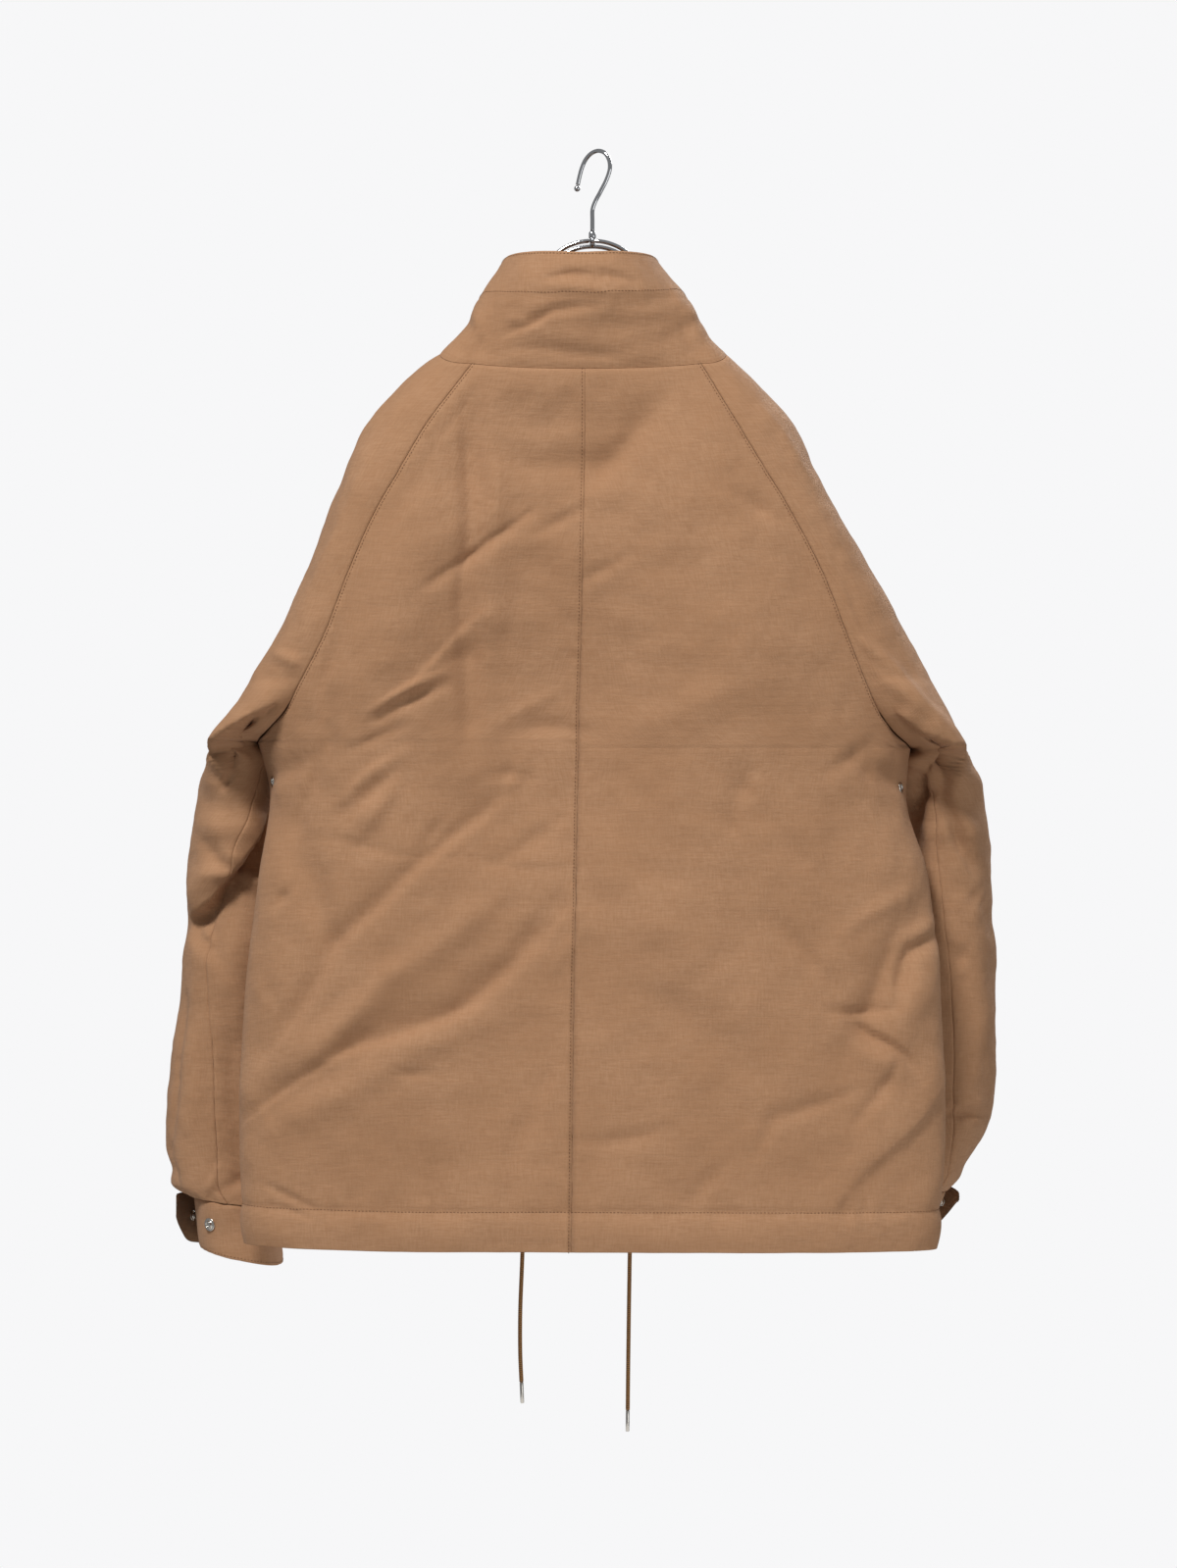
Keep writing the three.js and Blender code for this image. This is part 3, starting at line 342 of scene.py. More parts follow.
for side, word in SIDES.items():
    line = smooth_line(CORD_ROUTE[side], CORD_RINGS_APART)
    drawcord = bar_along(f"drawcord_{word}", line, braid_radius, CORD_SIDES, BRAIDED_CORD)
    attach(drawcord, "root")
    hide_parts(f"cord_{word}")
    down = (line[-1] - Vector(CORD_ROUTE[side][-2])).normalized()
    r = TIP_DIAMETER / 2
    tube = [(0, 0), (r - 0.3, 0), (r, 0.4), (r, TIP_LENGTH - 0.6), (r - 0.4, TIP_LENGTH), (0, TIP_LENGTH)]
    tip = turned(f"drawcord_tip_{word}", tube, line[-1] + down * TIP_GAP, down, NICKEL, TIP_SIDES)
    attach(tip, "root")
    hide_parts(f"cord_tip_{word}")
    route = in_metres(line)
    cord_length = sum((b - a).length for a, b in zip(line, line[1:])) * MM
    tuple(route[0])


# The hanger: chrome-plated steel wire, bent by machine. A hook turns in a nut on a short bar between two
# shaped wires, which spread into arms under the jacket's shoulders.
WIRE_DIAMETER = 3.5
HOOK_TURN = math.radians(33)
HOOK = [
    (-15.3, -25), (-13.6, -18), (-11.3, -11), (-7.6, -4.5), (-2, 0.2), (5, 1.75), (11.5, -0.8), (15.6, -7),
    (16.3, -14), (13.6, -22), (7.8, -32), (2.2, -41), (0, -47), (0, -56), (0, -64.8),
]
HOOK_LEAN_FROM_Z = -60  # the stem is upright below this height, and leans to the hook's top over the next 50
HOOK_LEAN_OVER = 50
HOOK_RINGS_APART, FRAME_RINGS_APART = 1.2, 3
WIRE_SIDES, FRAME_SIDES = 20, 18
BALL_RADIUS = 2.6
BALL_FROM_HOOK_END = (-0.4, 0.2, -2.9)
BALL_STEPS = 14
NUT_Z = -70.8
NUT_PROFILE = [(0, 0), (2.7, 0), (3, 0.4), (3, 4.6), (2.6, 5.0), (2.3, 5.6), (0, 5.6)]
BAR_RADIUS = 2.2
BAR_LIFT = 1.7
BAR_GAP = 0.3
FRAME_HALF_DEPTH = 17
FRAME_TOP_Z = -75.3
ARM = {
    LEFT: [
        (0, -75.3), (13, -77), (26, -83), (37, -94), (44, -109), (52, -128), (66, -147), (85.6, -160.4),
        (107.4, -171.5), (127.3, -181.6), (145.2, -194.7), (161.1, -211.5), (171.1, -225.5),
    ],
    RIGHT: [
        (0, -75.3), (13, -77), (26, -83), (37, -94), (44, -109), (50, -128), (61, -146), (77, -158.7),
        (95.2, -168.6), (111.3, -179.7), (126.4, -193.8), (142.5, -212), (152.6, -225),
    ],
}
ARM_END = [(7, -15), (12, -8), (14, 0), (12, 8), (7, 15)]


def smooth_share(t):
    s = np.clip(t, 0, 1)
    return s * s * (3 - 2 * s)


def hook_point(across, z):
    lean = HOOK_TOP_X * smooth_share((z - HOOK_LEAN_FROM_Z) / HOOK_LEAN_OVER)
    x = lean * (1 - math.cos(HOOK_TURN)) + across * math.cos(HOOK_TURN)
    y = lean * math.sin(HOOK_TURN) - across * math.sin(HOOK_TURN)
    return (float(x), float(y), z)


# The closed line of the two shaped wires: out along the near one, round each arm's end and back along the far
def frame_wire():
    def run(side, y):
        return [(side * x, y, z) for x, z in ARM[side]]

    def arm_end(side):
        (x0, z0), (x1, z1) = ARM[side][-2:]
        length = math.hypot(x1 - x0, z1 - z0)
        return [(side * (x1 + (x1 - x0) / length * a), y, z1 + (z1 - z0) / length * a) for a, y in ARM_END]

    near = run(RIGHT, -FRAME_HALF_DEPTH) + arm_end(RIGHT) + run(RIGHT, FRAME_HALF_DEPTH)[::-1]
    far = run(LEFT, FRAME_HALF_DEPTH)[1:] + arm_end(LEFT)[::-1] + run(LEFT, -FRAME_HALF_DEPTH)[::-1][:-1]
    return near + far


# Chrome plate on steel: mirror-bright and cool, with faint drawing lines
CHROME = plated("chrome_plated_wire", "#C9CBCE", 260.0, 0.06, 0.14)
wire_radius = lambda length, angle: WIRE_DIAMETER / 2
bar_radius = lambda length, angle: BAR_RADIUS
UPWARDS = (0, 0, 1)

ball_place = Vector(hook_point(*HOOK[0])) + Vector(BALL_FROM_HOOK_END)
ball_angles = [math.pi * k / BALL_STEPS for k in range(1, BALL_STEPS)]
ball_sides = [(BALL_RADIUS * math.sin(a), -BALL_RADIUS * math.cos(a)) for a in ball_angles]
ball_profile = [(0, -BALL_RADIUS), *ball_sides, (0, BALL_RADIUS)]
bar_half = FRAME_HALF_DEPTH - WIRE_DIAMETER / 2 - BAR_GAP
bar_line = [Vector((0, y, FRAME_TOP_Z + BAR_LIFT)) for y in (-bar_half, bar_half)]
hook_line = smooth_line([hook_point(*p) for p in HOOK], HOOK_RINGS_APART)
frame_line = smooth_line(frame_wire(), FRAME_RINGS_APART, closed=True)
hanger_pieces = {
    "hanger_hook": bar_along("wire_hook", hook_line, wire_radius, WIRE_SIDES, CHROME),
    "hanger_ball": turned("hook_ball", ball_profile, ball_place, UPWARDS, CHROME, 24),
    "hanger_nut": turned("stem_nut", NUT_PROFILE, (0, 0, NUT_Z), UPWARDS, CHROME, 28),
    "hanger_bar": bar_along("cross_bar", bar_line, bar_radius, WIRE_SIDES, CHROME),
    "hanger_frame": bar_along("wire_frame", frame_line, wire_radius, FRAME_SIDES, CHROME, closed=True),
}
for node, piece in hanger_pieces.items():
    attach(piece, "root")
    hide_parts(node)


# The cloth: a dense brushed cotton, warm tan. Matt, with a soft nap that lifts the edges a little, a plain
# weave of fine threads and faint uneven slubs both ways. Threads 0.4 mm apart would not show, so they are
# drawn 0.9 mm apart.
THREAD_APART = 0.9
WAVE_PERIOD = 2 * math.pi / 20  # Blender's bands have this period at scale 1
SLUB_STRETCHES = ((700, 90, 1), (90, 700, 1))


def brushed_cotton(name, light, dark, slub):
    made, tree = new_material(name)
    cloth = add_node(tree, "ShaderNodeUVMap", uv_map="cloth_mm").outputs[0]
    bands = {"Scale": WAVE_PERIOD / (THREAD_APART * MM), "Distortion": 1.2}
    bands.update({"Detail": 2.0, "Detail Scale": 0.6})
    threads = []
    for direction in ("X", "Y"):
        wave = add_node(tree, "ShaderNodeTexWave", {"Vector": cloth, **bands}, bands_direction=direction)
        threads.append(wave.outputs["Fac"])
    slubs = []
    for stretch in SLUB_STRETCHES:
        scaled = add_node(tree, "ShaderNodeMapping", {"Vector": cloth, "Scale": stretch})
        slubs.append(speckles(tree, 1.0, 3.0, scaled.outputs[0]))
    slubby = spread(tree, maths(tree, "ADD", *slubs), (0.75, 1.25))
    place = add_node(tree, "ShaderNodeTexCoord").outputs["Object"]
    faded = spread(tree, speckles(tree, 14.0, 4.0, place), (0.35, 0.65))
    tone = blend(tree, faded, colour(dark), colour(light))
    mixed = blend(tree, 0.7, tone, blend(tree, slubby, tone, colour(slub)))
    relief = maths(tree, "ADD", maths(tree, "ADD", *threads), slubby)
    bump = add_node(tree, "ShaderNodeBump", {"Height": relief, "Strength": 0.45, "Distance": 0.0005})
    nap = {"Sheen Weight": 0.06, "Sheen Roughness": 0.45, "Specular IOR Level": 0.25}
    rough = spread(tree, slubby, (0.0, 1.0), (0.82, 0.93))
    finish_material(tree, {"Base Color": mixed, "Roughness": rough, "Normal": bump.outputs[0], **nap})
    return made


COTTON = brushed_cotton("brushed_tan_cotton", "#B48A68", "#AC8260", "#A47957")


# The jacket's body: two backs and two fronts with a seam down the middle of each, cut from the collar to the
# hem. Each is a wall as thick as shell and lining together. Its horizontal sections, seam lines and heights
# are those of the frame, with every fold and crease laid on at full detail.
BACK, FRONT = -1, 1
CLOTH = 2.0
NECK_BACK_Z, NECK_FRONT_Z = -185.5, -235
NECK_RAGLAN_BACK_Z, NECK_RAGLAN_FRONT_Z = -180, -198
NECK_POINT_Z = {LEFT: -167, RIGHT: -168}
UNDERARM_Z = {LEFT: -489, RIGHT: -494}
HEM_CENTRE_Z = -902
HEM_SIDE_Z = {LEFT: -899, RIGHT: -904}
HEM_STITCH_UP = 33
LOWER_ROW_EASE = 1.3


# A short table with named columns. The first is the key, in rising order. Between its rows each column is
# read by a curve that never bulges past its two neighbours.
def table(names, *rows):
    rows = np.array(rows, float)
    key = rows[:, 0]
    slopes = {}
    for c, column in enumerate(names):
        rise = np.diff(rows[:, c]) / np.diff(key)
        before = np.concatenate([rise[:1], rise])
        after = np.concatenate([rise, rise[-1:]])
        safe = np.where(before * after > 0, before + after, 1)
        slopes[column] = (rows[:, c], np.where(before * after > 0, 2 * before * after / safe, 0))

    def read(column, at):
        value, slope = slopes[column]
        at = np.asarray(at, float)
        i = np.clip(np.searchsorted(key, at, side="right") - 1, 0, len(key) - 2)
        span = key[i + 1] - key[i]
        t = np.clip((at - key[i]) / span, 0, 1)
        t2, t3 = t * t, t * t * t
        start = (2 * t3 - 3 * t2 + 1) * value[i] + (t3 - 2 * t2 + t) * span * slope[i]
        end = (3 * t2 - 2 * t3) * value[i + 1] + (t3 - t2) * span * slope[i + 1]
        return start + end

    return read


body = table(
    ["z", "seam", "left", "right", "sideY", "backY", "frontY", "backPower", "frontPower"],
    [-905, -17, 286, 283, -24, -80, 54, 2.9, 1.9],
    [-800, -16, 290, 290, -26, -82, 58, 2.9, 1.9],
    [-700, -15, 286, 286, -22, -84, 62, 2.8, 1.9],
    [-600, -13, 275, 277, -10, -85, 68, 2.7, 1.9],
    [-535, -12, 267, 260, 2, -86, 72, 2.6, 1.9],
    [-489, -11, 278, 265, 14, -87, 75, 2.6, 2.0],
    [-465, -11, 284, 268, 13, -87, 76, 2.6, 2.0],
    [-440, -10, 286, 270, 10, -87, 77, 2.6, 2.0],
    [-400, -9, 278, 262, 5, -87, 77, 2.6, 2.1],
    [-350, -8, 262, 246, 1, -85, 76, 2.5, 2.1],
    [-290, -7, 234, 220, -2, -81, 70, 2.4, 2.1],
    [-230, -6, 194, 184, -4, -73, 61, 2.3, 2.1],
    [-185, -6, 152, 144, -5, -63, 51, 2.1, 2.0],
    [-160, -5, 128, 120, -5, -58, 46, 2.0, 2.0],
)
raglan = {
    LEFT: table(
        ["z", "x"],
        [-489, 278], [-475, 262], [-462, 250], [-440, 238], [-399, 217], [-357, 201],
        [-306, 179], [-269, 158], [-231, 136], [-182, 100], [-160, 85],
    ),
    RIGHT: table(
        ["z", "x"],
        [-494, 264], [-479, 245], [-461, 232], [-436, 221], [-399, 206], [-353, 188],
        [-294, 157], [-268, 141], [-233, 120], [-206, 104], [-182, 90], [-160, 76],
    ),
}


# How far round its section a body panel reaches: to the raglan seam, or to the side seam below it
def panel_reach(side, face, z):
    seam = body("seam", z)
    reach = np.abs(side * body(SIDES[side], z) - seam)
    power = body("backPower" if face == BACK else "frontPower", z)
    part = np.clip(np.abs(side * raglan[side]("x", z) - seam) / reach, 0, 1)
    return np.where(z > UNDERARM_Z[side], np.arcsin(part ** (power / 2)), np.pi / 2)


# A point of a body section, at a share of the way from the centre seam to the raglan or side seam. Only the
# outer columns follow the seam's sharp turn at the underarm; the others follow its mean over nearby heights.
EVENED_OVER = (-54, -36, -18, 0, 18, 36, 54)
OUTER_COLUMNS_FROM = 0.6


def body_section(side, face, z, share):
    seam = body("seam", z)
    reach = np.abs(side * body(SIDES[side], z) - seam)
    power = body("backPower" if face == BACK else "frontPower", z)
    side_y = body("sideY", z)
    face_y = body("backY" if face == BACK else "frontY", z)
    even = sum(panel_reach(side, face, z + step) for step in EVENED_OVER) / len(EVENED_OVER)
    outermost = smooth_share((share - OUTER_COLUMNS_FROM) / (1 - OUTER_COLUMNS_FROM))
    angle = share * (even + (panel_reach(side, face, z) - even) * outermost)
    x = seam + side * reach * np.sin(angle) ** (2 / power)
    y = side_y + (face_y - side_y) * np.maximum(0, np.cos(angle)) ** (2 / power)
    return x, y


# Heights of the collar seam, by share of each panel's top edge
def neck_height(side, panel, share):
    if panel == "back":
        return NECK_BACK_Z + (NECK_RAGLAN_BACK_Z - NECK_BACK_Z) * share**2
    if panel == "front":
        return NECK_FRONT_Z + (NECK_RAGLAN_FRONT_Z - NECK_FRONT_Z) * share**2
    top = NECK_POINT_Z[side]
    back = NECK_RAGLAN_BACK_Z + (top - NECK_RAGLAN_BACK_Z) * smooth_share(share * 2)
    front = top + (NECK_RAGLAN_FRONT_Z - top) * smooth_share(share * 2 - 1)
    return np.where(share < 0.5, back, front)


# Extra columns beside the seams, in columns from the seam, carry the fine relief there
SEAM_COLUMNS = [0.25, 0.5, 0.75, 1.3, 1.6]


# Heights of a panel's grid: the yoke's rows are the same shares on every panel, so that the seams match
def panel_heights(side, panel, bottom, yoke_rows, lower_rows, columns):
    beside_seam = np.array(SEAM_COLUMNS) / columns
    share = np.unique(np.concatenate([np.linspace(0, 1, columns + 1), beside_seam, 1 - beside_seam]))[None, :]
    row = np.arange(yoke_rows + lower_rows + 1)[:, None]
    top = neck_height(side, panel, share)
    yoke = top + (UNDERARM_Z[side] - top) * np.minimum(row / yoke_rows, 1)
    below = np.clip((row - yoke_rows) / lower_rows, 0, 1)
    eased = 1 - (1 - below) ** LOWER_ROW_EASE
    lower = UNDERARM_Z[side] + (bottom(share) - UNDERARM_Z[side]) * eased
    return np.where(row <= yoke_rows, yoke, lower), np.broadcast_to(share, (len(row), share.shape[1]))


CREASE_DEPTH = 1.2


# Creases of cloth: each row is a soft line from one place to another, with the width of its flank and its
# height, where a trough is below 0. Two more values may follow: bow bends the line sideways, and lean makes
# the flank on the right of its way narrower and the one on the left wider. Each line wanders a little and
# tapers to its ends.
def crease_height(creases, x, z):
    wander = np.sin(x / 23 + z / 31) * 2.2 + np.sin(x / 11 - z / 17 + 2) * 1.1
    x, z = x + wander, z + np.sin(x / 19 - z / 27 + 1) * 2.4
    total = np.zeros(np.broadcast(x, z).shape)
    for x0, z0, x1, z1, width, height, *bent in creases:
        bow, lean = (*bent, 0, 0)[:2]
        length = math.hypot(x1 - x0, z1 - z0)
        ax, az = (x1 - x0) / length, (z1 - z0) / length
        along = (x - x0) * ax + (z - z0) * az
        t = np.clip(along / length, 0, 1)
        across = (x - x0) * az - (z - z0) * ax - bow * 4 * t * (1 - t)
        beyond = np.maximum(0, np.maximum(-along, along - length))
        taper = 0.35 + 0.65 * np.sin(np.pi * np.clip(t, 0.08, 0.92))
        near = across / (width * (0.7 + 0.3 * taper) * (1 - lean * np.tanh(across)))
        total += height * taper * np.exp(-near * near - (beyond / (1.8 * width)) ** 2)
    return total * CREASE_DEPTH


# A smooth swell about distance 0, which has sunk to little more than a third at the width
def bell(distance, width):
    return np.exp(-((distance / width) ** 2))


LIP_WIDTH = 2.8
LIP_FADE = 7


# Where a fold hangs over the cloth below it: each row is the fold's lip from one place to another, with the
# overhanging cloth on the right of its way, how far that swells out, over what reach and how far up from the
# lip, and how far the cloth under the lip lies in and over what distance it comes out again.
def overhang_height(folds, x, z):
    wander = np.sin(x / 13 + z / 17) * 1.4
    total = np.zeros(np.broadcast(x, z).shape)
    for x0, z0, x1, z1, swell, swell_reach, swell_up, drop, drop_reach in folds:
        length = math.hypot(x1 - x0, z1 - z0)
        ax, az = (x1 - x0) / length, (z1 - z0) / length
        along = (x - x0) * ax + (z - z0) * az
        across = (x - x0) * az - (z - z0) * ax + wander
        under = smooth_share(-across / LIP_WIDTH)
        above = swell * bell(np.maximum(across, 0) - swell_up, swell_reach)
        below = drop * bell(np.maximum(-across, 0), drop_reach)
        fade = smooth_share((along + LIP_FADE) / (2 * LIP_FADE))
        fade = fade * smooth_share((length + LIP_FADE - along) / (2 * LIP_FADE))
        total += fade * (above * (1 - under) - below * under)
    return total


# Fine unevenness that all hung cloth has, from soft hollows down to small ripples, as sizes and heights
def cloth_ripple(x, y, z, *ripples):
    places = list(zip(np.ravel(x), np.ravel(y), np.ravel(z)))
    total = np.zeros(np.shape(x))
    for size, height in ripples:
        flat = np.array([noise.noise(Vector((a / size, b / size, c / size))) for a, b, c in places])
        total += flat.reshape(np.shape(x)) * height
    return total


BACK_CREASES = [
    # the large folds that the frame has too
    (-275, -800, -205, -752, 16, -6), (-262, -770, -190, -715, 20, 5), (262, -640, 218, -720, 14, -6),
    (275, -665, 240, -745, 18, 5), (-90, -215, -112, -330, 20, -4), (70, -200, 6, -262, 16, -4),
    (-45, -262, 30, -268, 14, -4), (-245, -560, -215, -640, 16, -5), (-268, -520, -236, -500, 9, -4),
    (260, -525, 228, -508, 9, -4), (-120, -345, -60, -300, 14, -3), (-150, -430, -90, -415, 16, -3),
    # the broad hollow between the shoulders
    (-46, -300, -52, -660, 94, -29), (-150, -330, -190, -480, 26, 5), (110, -300, 150, -480, 40, 4),
    # left back, from the collar down
    (-104, -218, -106, -466, 13, -5, 0, 0.5), (-82, -226, -84, -470, 12, 3.6),
    (-52, -304, -132, -358, 5, -3.2, 3, 0.3), (-96, -393, -145, -441, 6, 2.6, 0, 0.4),
    (-127, -436, -172, -458, 5, 3.2, 2, 0.4), (-128, -446, -170, -468, 6, -3.6, 2),
    (-160, -480, -192, -492, 5, -2.8, 0, 0.3), (-158, -503, -198, -533, 7, 3.2, 2, 0.4),
    (-164, -516, -200, -545, 7, -3.2), (-169, -531, -198, -560, 7, 2.8, 0, 0.4),
    (-83, -517, -56, -520, 5, -2.8, -2), (-56, -508, -74, -538, 6, 2.4), (-41, -455, -72, -469, 8, 2.2),
    (-10, -481, -61, -481, 8, -2.6, 2), (-203, -382, -216, -478, 9, -3, 3, 0.3),
    (-216, -478, -243, -555, 9, -3.2, 0, 0.3), (-10, -304, -38, -318, 6, -2.6),
    (-110, -400, -100, -470, 22, -3.5),
    # left back, below the eyelet
    (-225, -568, -112, -585, 2.6, -1.5), (-112, -585, -14, -592, 2.6, -1.2, 1),
    (-263, -738, -203, -647, 9, -5, 0, 0.3), (-203, -647, -154, -596, 8, -4.4, 0, 0.3),
    (-154, -596, -74, -536, 8, -3.8, 0, 0.3), (-240, -763, -158, -678, 12, 4.4),
    (-158, -678, -74, -612, 11, 4), (-279, -790, -200, -739, 11, -5, 0, 0.55),
    (-200, -739, -108, -705, 11, -6.5, 0, 0.55), (-108, -705, -60, -668, 10, -6, 0, 0.5),
    (-60, -668, -30, -632, 9, -4.4, 0, 0.4), (-262, -804, -190, -762, 14, 4),
    (-180, -750, -100, -722, 12, 3.2), (-83, -590, -30, -552, 7, -2.8), (-65, -856, -40, -760, 7, -2.6, -4),
    (-127, -866, -130, -834, 6, -2.2), (-262, -852, -232, -862, 4, -2.4), (-252, -866, -230, -873, 3, -1.8),
    (-154, -754, -132, -758, 4, -2), (-258, -623, -245, -612, 5, -2.6), (-189, -563, -165, -536, 6, 2.6),
    (-136, -567, -123, -552, 5, -2.2), (-46, -640, -36, -622, 6, -2.2), (-24, -668, -14, -650, 6, 2),
    # right back
    (122, -293, 151, -305, 7, -2.6, 0, 0.2), (224, -493, 193, -513, 6, -3.2),
    (217, -509, 231, -520, 5, -2.8), (128, -516, 118, -536, 10, -3.2), (60, -470, 120, -450, 16, 3),
    (20, -342, -2, -353, 6, -2.6), (42, -236, 0, -278, 10, -3.4), (110, -552, 117, -562, 5, -2.2),
    (150, -560, 190, -600, 10, -2.4),
    # right back, below the eyelet
    (193, -709, 243, -705, 3.5, -3.6, 0, 0.4), (212, -714, 255, -747, 7, -5, 0, -0.5),
    (200, -722, 246, -758, 10, 3.4), (276, -634, 254, -650, 5, 2.4), (254, -650, 243, -690, 6, 2.2),
    (280, -644, 262, -660, 5, -4.2), (262, -660, 251, -694, 6, -4.2), (213, -641, 249, -616, 7, 3),
    (151, -638, 189, -683, 8, -2.8), (-8, -814, 55, -800, 6, -2.4, 3), (131, -818, 146, -792, 6, -2.6),
    (146, -792, 206, -774, 7, -2.6), (220, -792, 242, -758, 7, -3), (87, -856, 104, -834, 6, -2.4),
    (204, -856, 284, -769, 12, 4.2, 0, 0.5), (40, -690, 110, -740, 20, -3), (20, -600, 70, -650, 22, 3),
]
FRONT_CREASES = [
    (-200, -300, -150, -470, 22, -5), (190, -300, 140, -470, 22, -5), (-250, -540, -150, -640, 20, -4),
    (245, -545, 140, -650, 20, -4), (-120, -700, -100, -880, 24, 4), (95, -690, 85, -880, 24, 4),
    (-230, -500, -170, -530, 7, -2.4, 2, 0.4), (-225, -520, -160, -560, 7, 2.2, 0, 0.4),
    (225, -505, 165, -530, 7, -2.4, 2, 0.4), (220, -530, 150, -575, 7, 2.2, 0, 0.4),
    (-90, -320, -60, -400, 9, -2.0), (85, -330, 60, -420, 9, -2.0),
    (-190, -740, -120, -700, 9, -2.2, 3, 0.3), (200, -760, 130, -715, 9, -2.2, 3, 0.3),
    (-60, -560, -120, -600, 8, 1.8), (70, -600, 140, -640, 8, 1.8),
]
CREASES = {BACK: BACK_CREASES, FRONT: FRONT_CREASES}
SEAM_DIP = 0.6
SEAM_ROLL = 0.9
STITCH_FROM_SEAM = 2.3
STITCH_DIP = 0.35
STITCH_GROOVE = 1.0
PUCKER = 0.28
PUCKER_REACH = 6


# How the surface sinks at a seam, and in a shallow groove where its topstitch pulls it down
def seam_relief(distance, along, stitched):
    sunk = -SEAM_DIP * bell(distance, SEAM_ROLL)
    if not stitched:
        return sunk
    groove = -STITCH_DIP * bell(distance - STITCH_FROM_SEAM, STITCH_GROOVE)
    ripple = np.sin(along / 2.9 + np.sin(along / 13) * 2) + 0.6 * np.sin(along / 4.7 + 1)
    pucker = PUCKER * ripple * bell(distance - STITCH_FROM_SEAM / 2, PUCKER_REACH)
    return sunk + groove + pucker


# The distance along each row of a grid, from its first column and from its last
def row_lengths(x, y, z):
    step = np.sqrt(np.diff(x, axis=1) ** 2 + np.diff(y, axis=1) ** 2 + np.diff(z, axis=1) ** 2)
    run = np.concatenate([np.zeros((len(x), 1)), np.cumsum(step, axis=1)], axis=1)
    return run, run[:, -1:] - run


SMALL_STEP = 1e-3


# The outward horizontal direction of a section at each point of a grid
def section_normals(section, z, share, turn):
    x0, y0 = section(z, np.maximum(0, share - SMALL_STEP))
    x1, y1 = section(z, np.minimum(1, share + SMALL_STEP))
    length = np.hypot(x1 - x0, y1 - y0)
    return -(y1 - y0) / length * turn, (x1 - x0) / length * turn


# Closes an outer and an inner grid of points into one wall. Each hole is a place and a radius, and is cut
# through both faces under the eyelet that hides its rim.
def cloth_wall(name, outer, inner, lengths, forwards, material, holes=()):
    rows, columns = outer.shape[0] - 1, outer.shape[1] - 1
    width = columns + 1
    count = (rows + 1) * width
    index = np.arange(count).reshape(rows + 1, width)
    a, b, c, d = index[:-1, :-1], index[:-1, 1:], index[1:, :-1], index[1:, 1:]
    front = np.stack([a, b, d, c], -1).reshape(-1, 4)
    back = np.stack([b, a, c, d], -1).reshape(-1, 4) + count
    start = np.stack([a[:, 0] + count, a[:, 0], c[:, 0], c[:, 0] + count], -1)
    end = np.stack([b[:, -1], b[:, -1] + count, d[:, -1] + count, d[:, -1]], -1)
    top = np.stack([a[0] + count, b[0] + count, b[0], a[0]], -1)
    bottom = np.stack([c[-1], d[-1], d[-1] + count, c[-1] + count], -1)
    whole = np.ones(len(front), bool)
    middles = outer.reshape(-1, 3)[front].mean(1)
    for place, radius in holes:
        whole &= np.linalg.norm(middles - np.array(place), axis=1) > radius
    faces = np.concatenate([front[whole], back[whole], start, end, top, bottom])
    if not forwards:
        faces = faces[:, ::-1]
    points = np.concatenate([outer.reshape(-1, 3), inner.reshape(-1, 3)])
    uv = np.concatenate([lengths.reshape(-1, 2), lengths.reshape(-1, 2)])
    piece = make_piece(name, points.tolist(), faces.tolist(), material, uv=uv)
    on_faces = len(front[whole]) * 2
    piece.data.polygons.foreach_set("use_smooth", [k < on_faces for k in range(len(faces))])
    return piece


# The finished outer surfaces, kept so that stitches and fittings can be laid on them
surface = {}
STEEPEST = 1.7  # a sloping wall is thickened up to this much, so that it keeps its thickness across


# Lays a relief on a section's even form and makes the wall of it. turn is the way round that the section
# runs, shared turns the wall's directions beside a seam, and hole is an eyelet's hole as place and radius.
def lay_cloth(name, section, z, share, turn, relief, shared, hole=None):
    x, y = section(z, share)
    nx, ny = section_normals(section, z, share, turn)
    from_start, from_end = row_lengths(x, y, z)
    nx, ny = shared(nx, ny, z, from_start, from_end)
    low_x, low_y = section(z - 1, share)
    slope = (low_x - x) * nx + (low_y - y) * ny
    across = CLOTH * np.minimum(STEEPEST, np.hypot(1, slope))
    lift = relief(x, y, z, share, from_start, from_end)
    outer = np.stack([x + nx * lift, y + ny * lift, z], -1)
    inner = np.stack([x + nx * (lift - across), y + ny * (lift - across), z], -1)
    lengths = np.stack([from_start - from_start[:, -1:] / 2, z], -1)
    surface[name] = outer
    holes = []
    if hole:
        row, column = np.unravel_index(np.linalg.norm(outer - np.array(hole[0]), axis=-1).argmin(), z.shape)
        holes = [(outer[row, column], hole[1])]
    return cloth_wall(name, outer, inner, lengths, turn > 0, COTTON, holes)


YOKE_ROWS = 104
PANEL_GRID = {BACK: (YOKE_ROWS, 132, 100), FRONT: (60, 76, 56)}
SHARED_WITHIN = 14
ALIKE = 0.3  # the directions of two pieces are shared where their dot product is above this


# Near a raglan seam both pieces use one direction, so that their edges stay together
def shared_normal(side, face, z):
    arm_share = 0.0 if face == BACK else 1.0
    own = section_normals(lambda h, s: body_section(side, face, h, s), z, np.ones_like(z), side * face)
    arm = section_normals(lambda h, s: sleeve_section(side, h, s), z, np.full_like(z, arm_share), -side)
    sum_x, sum_y = own[0] + arm[0], own[1] + arm[1]
    length = np.maximum(np.hypot(sum_x, sum_y), 1e-6)
    agree = (own[0] * arm[0] + own[1] * arm[1] > ALIKE) & (z > UNDERARM_Z[side])
    return np.where(agree, sum_x / length, own[0]), np.where(agree, sum_y / length, own[1]), agree


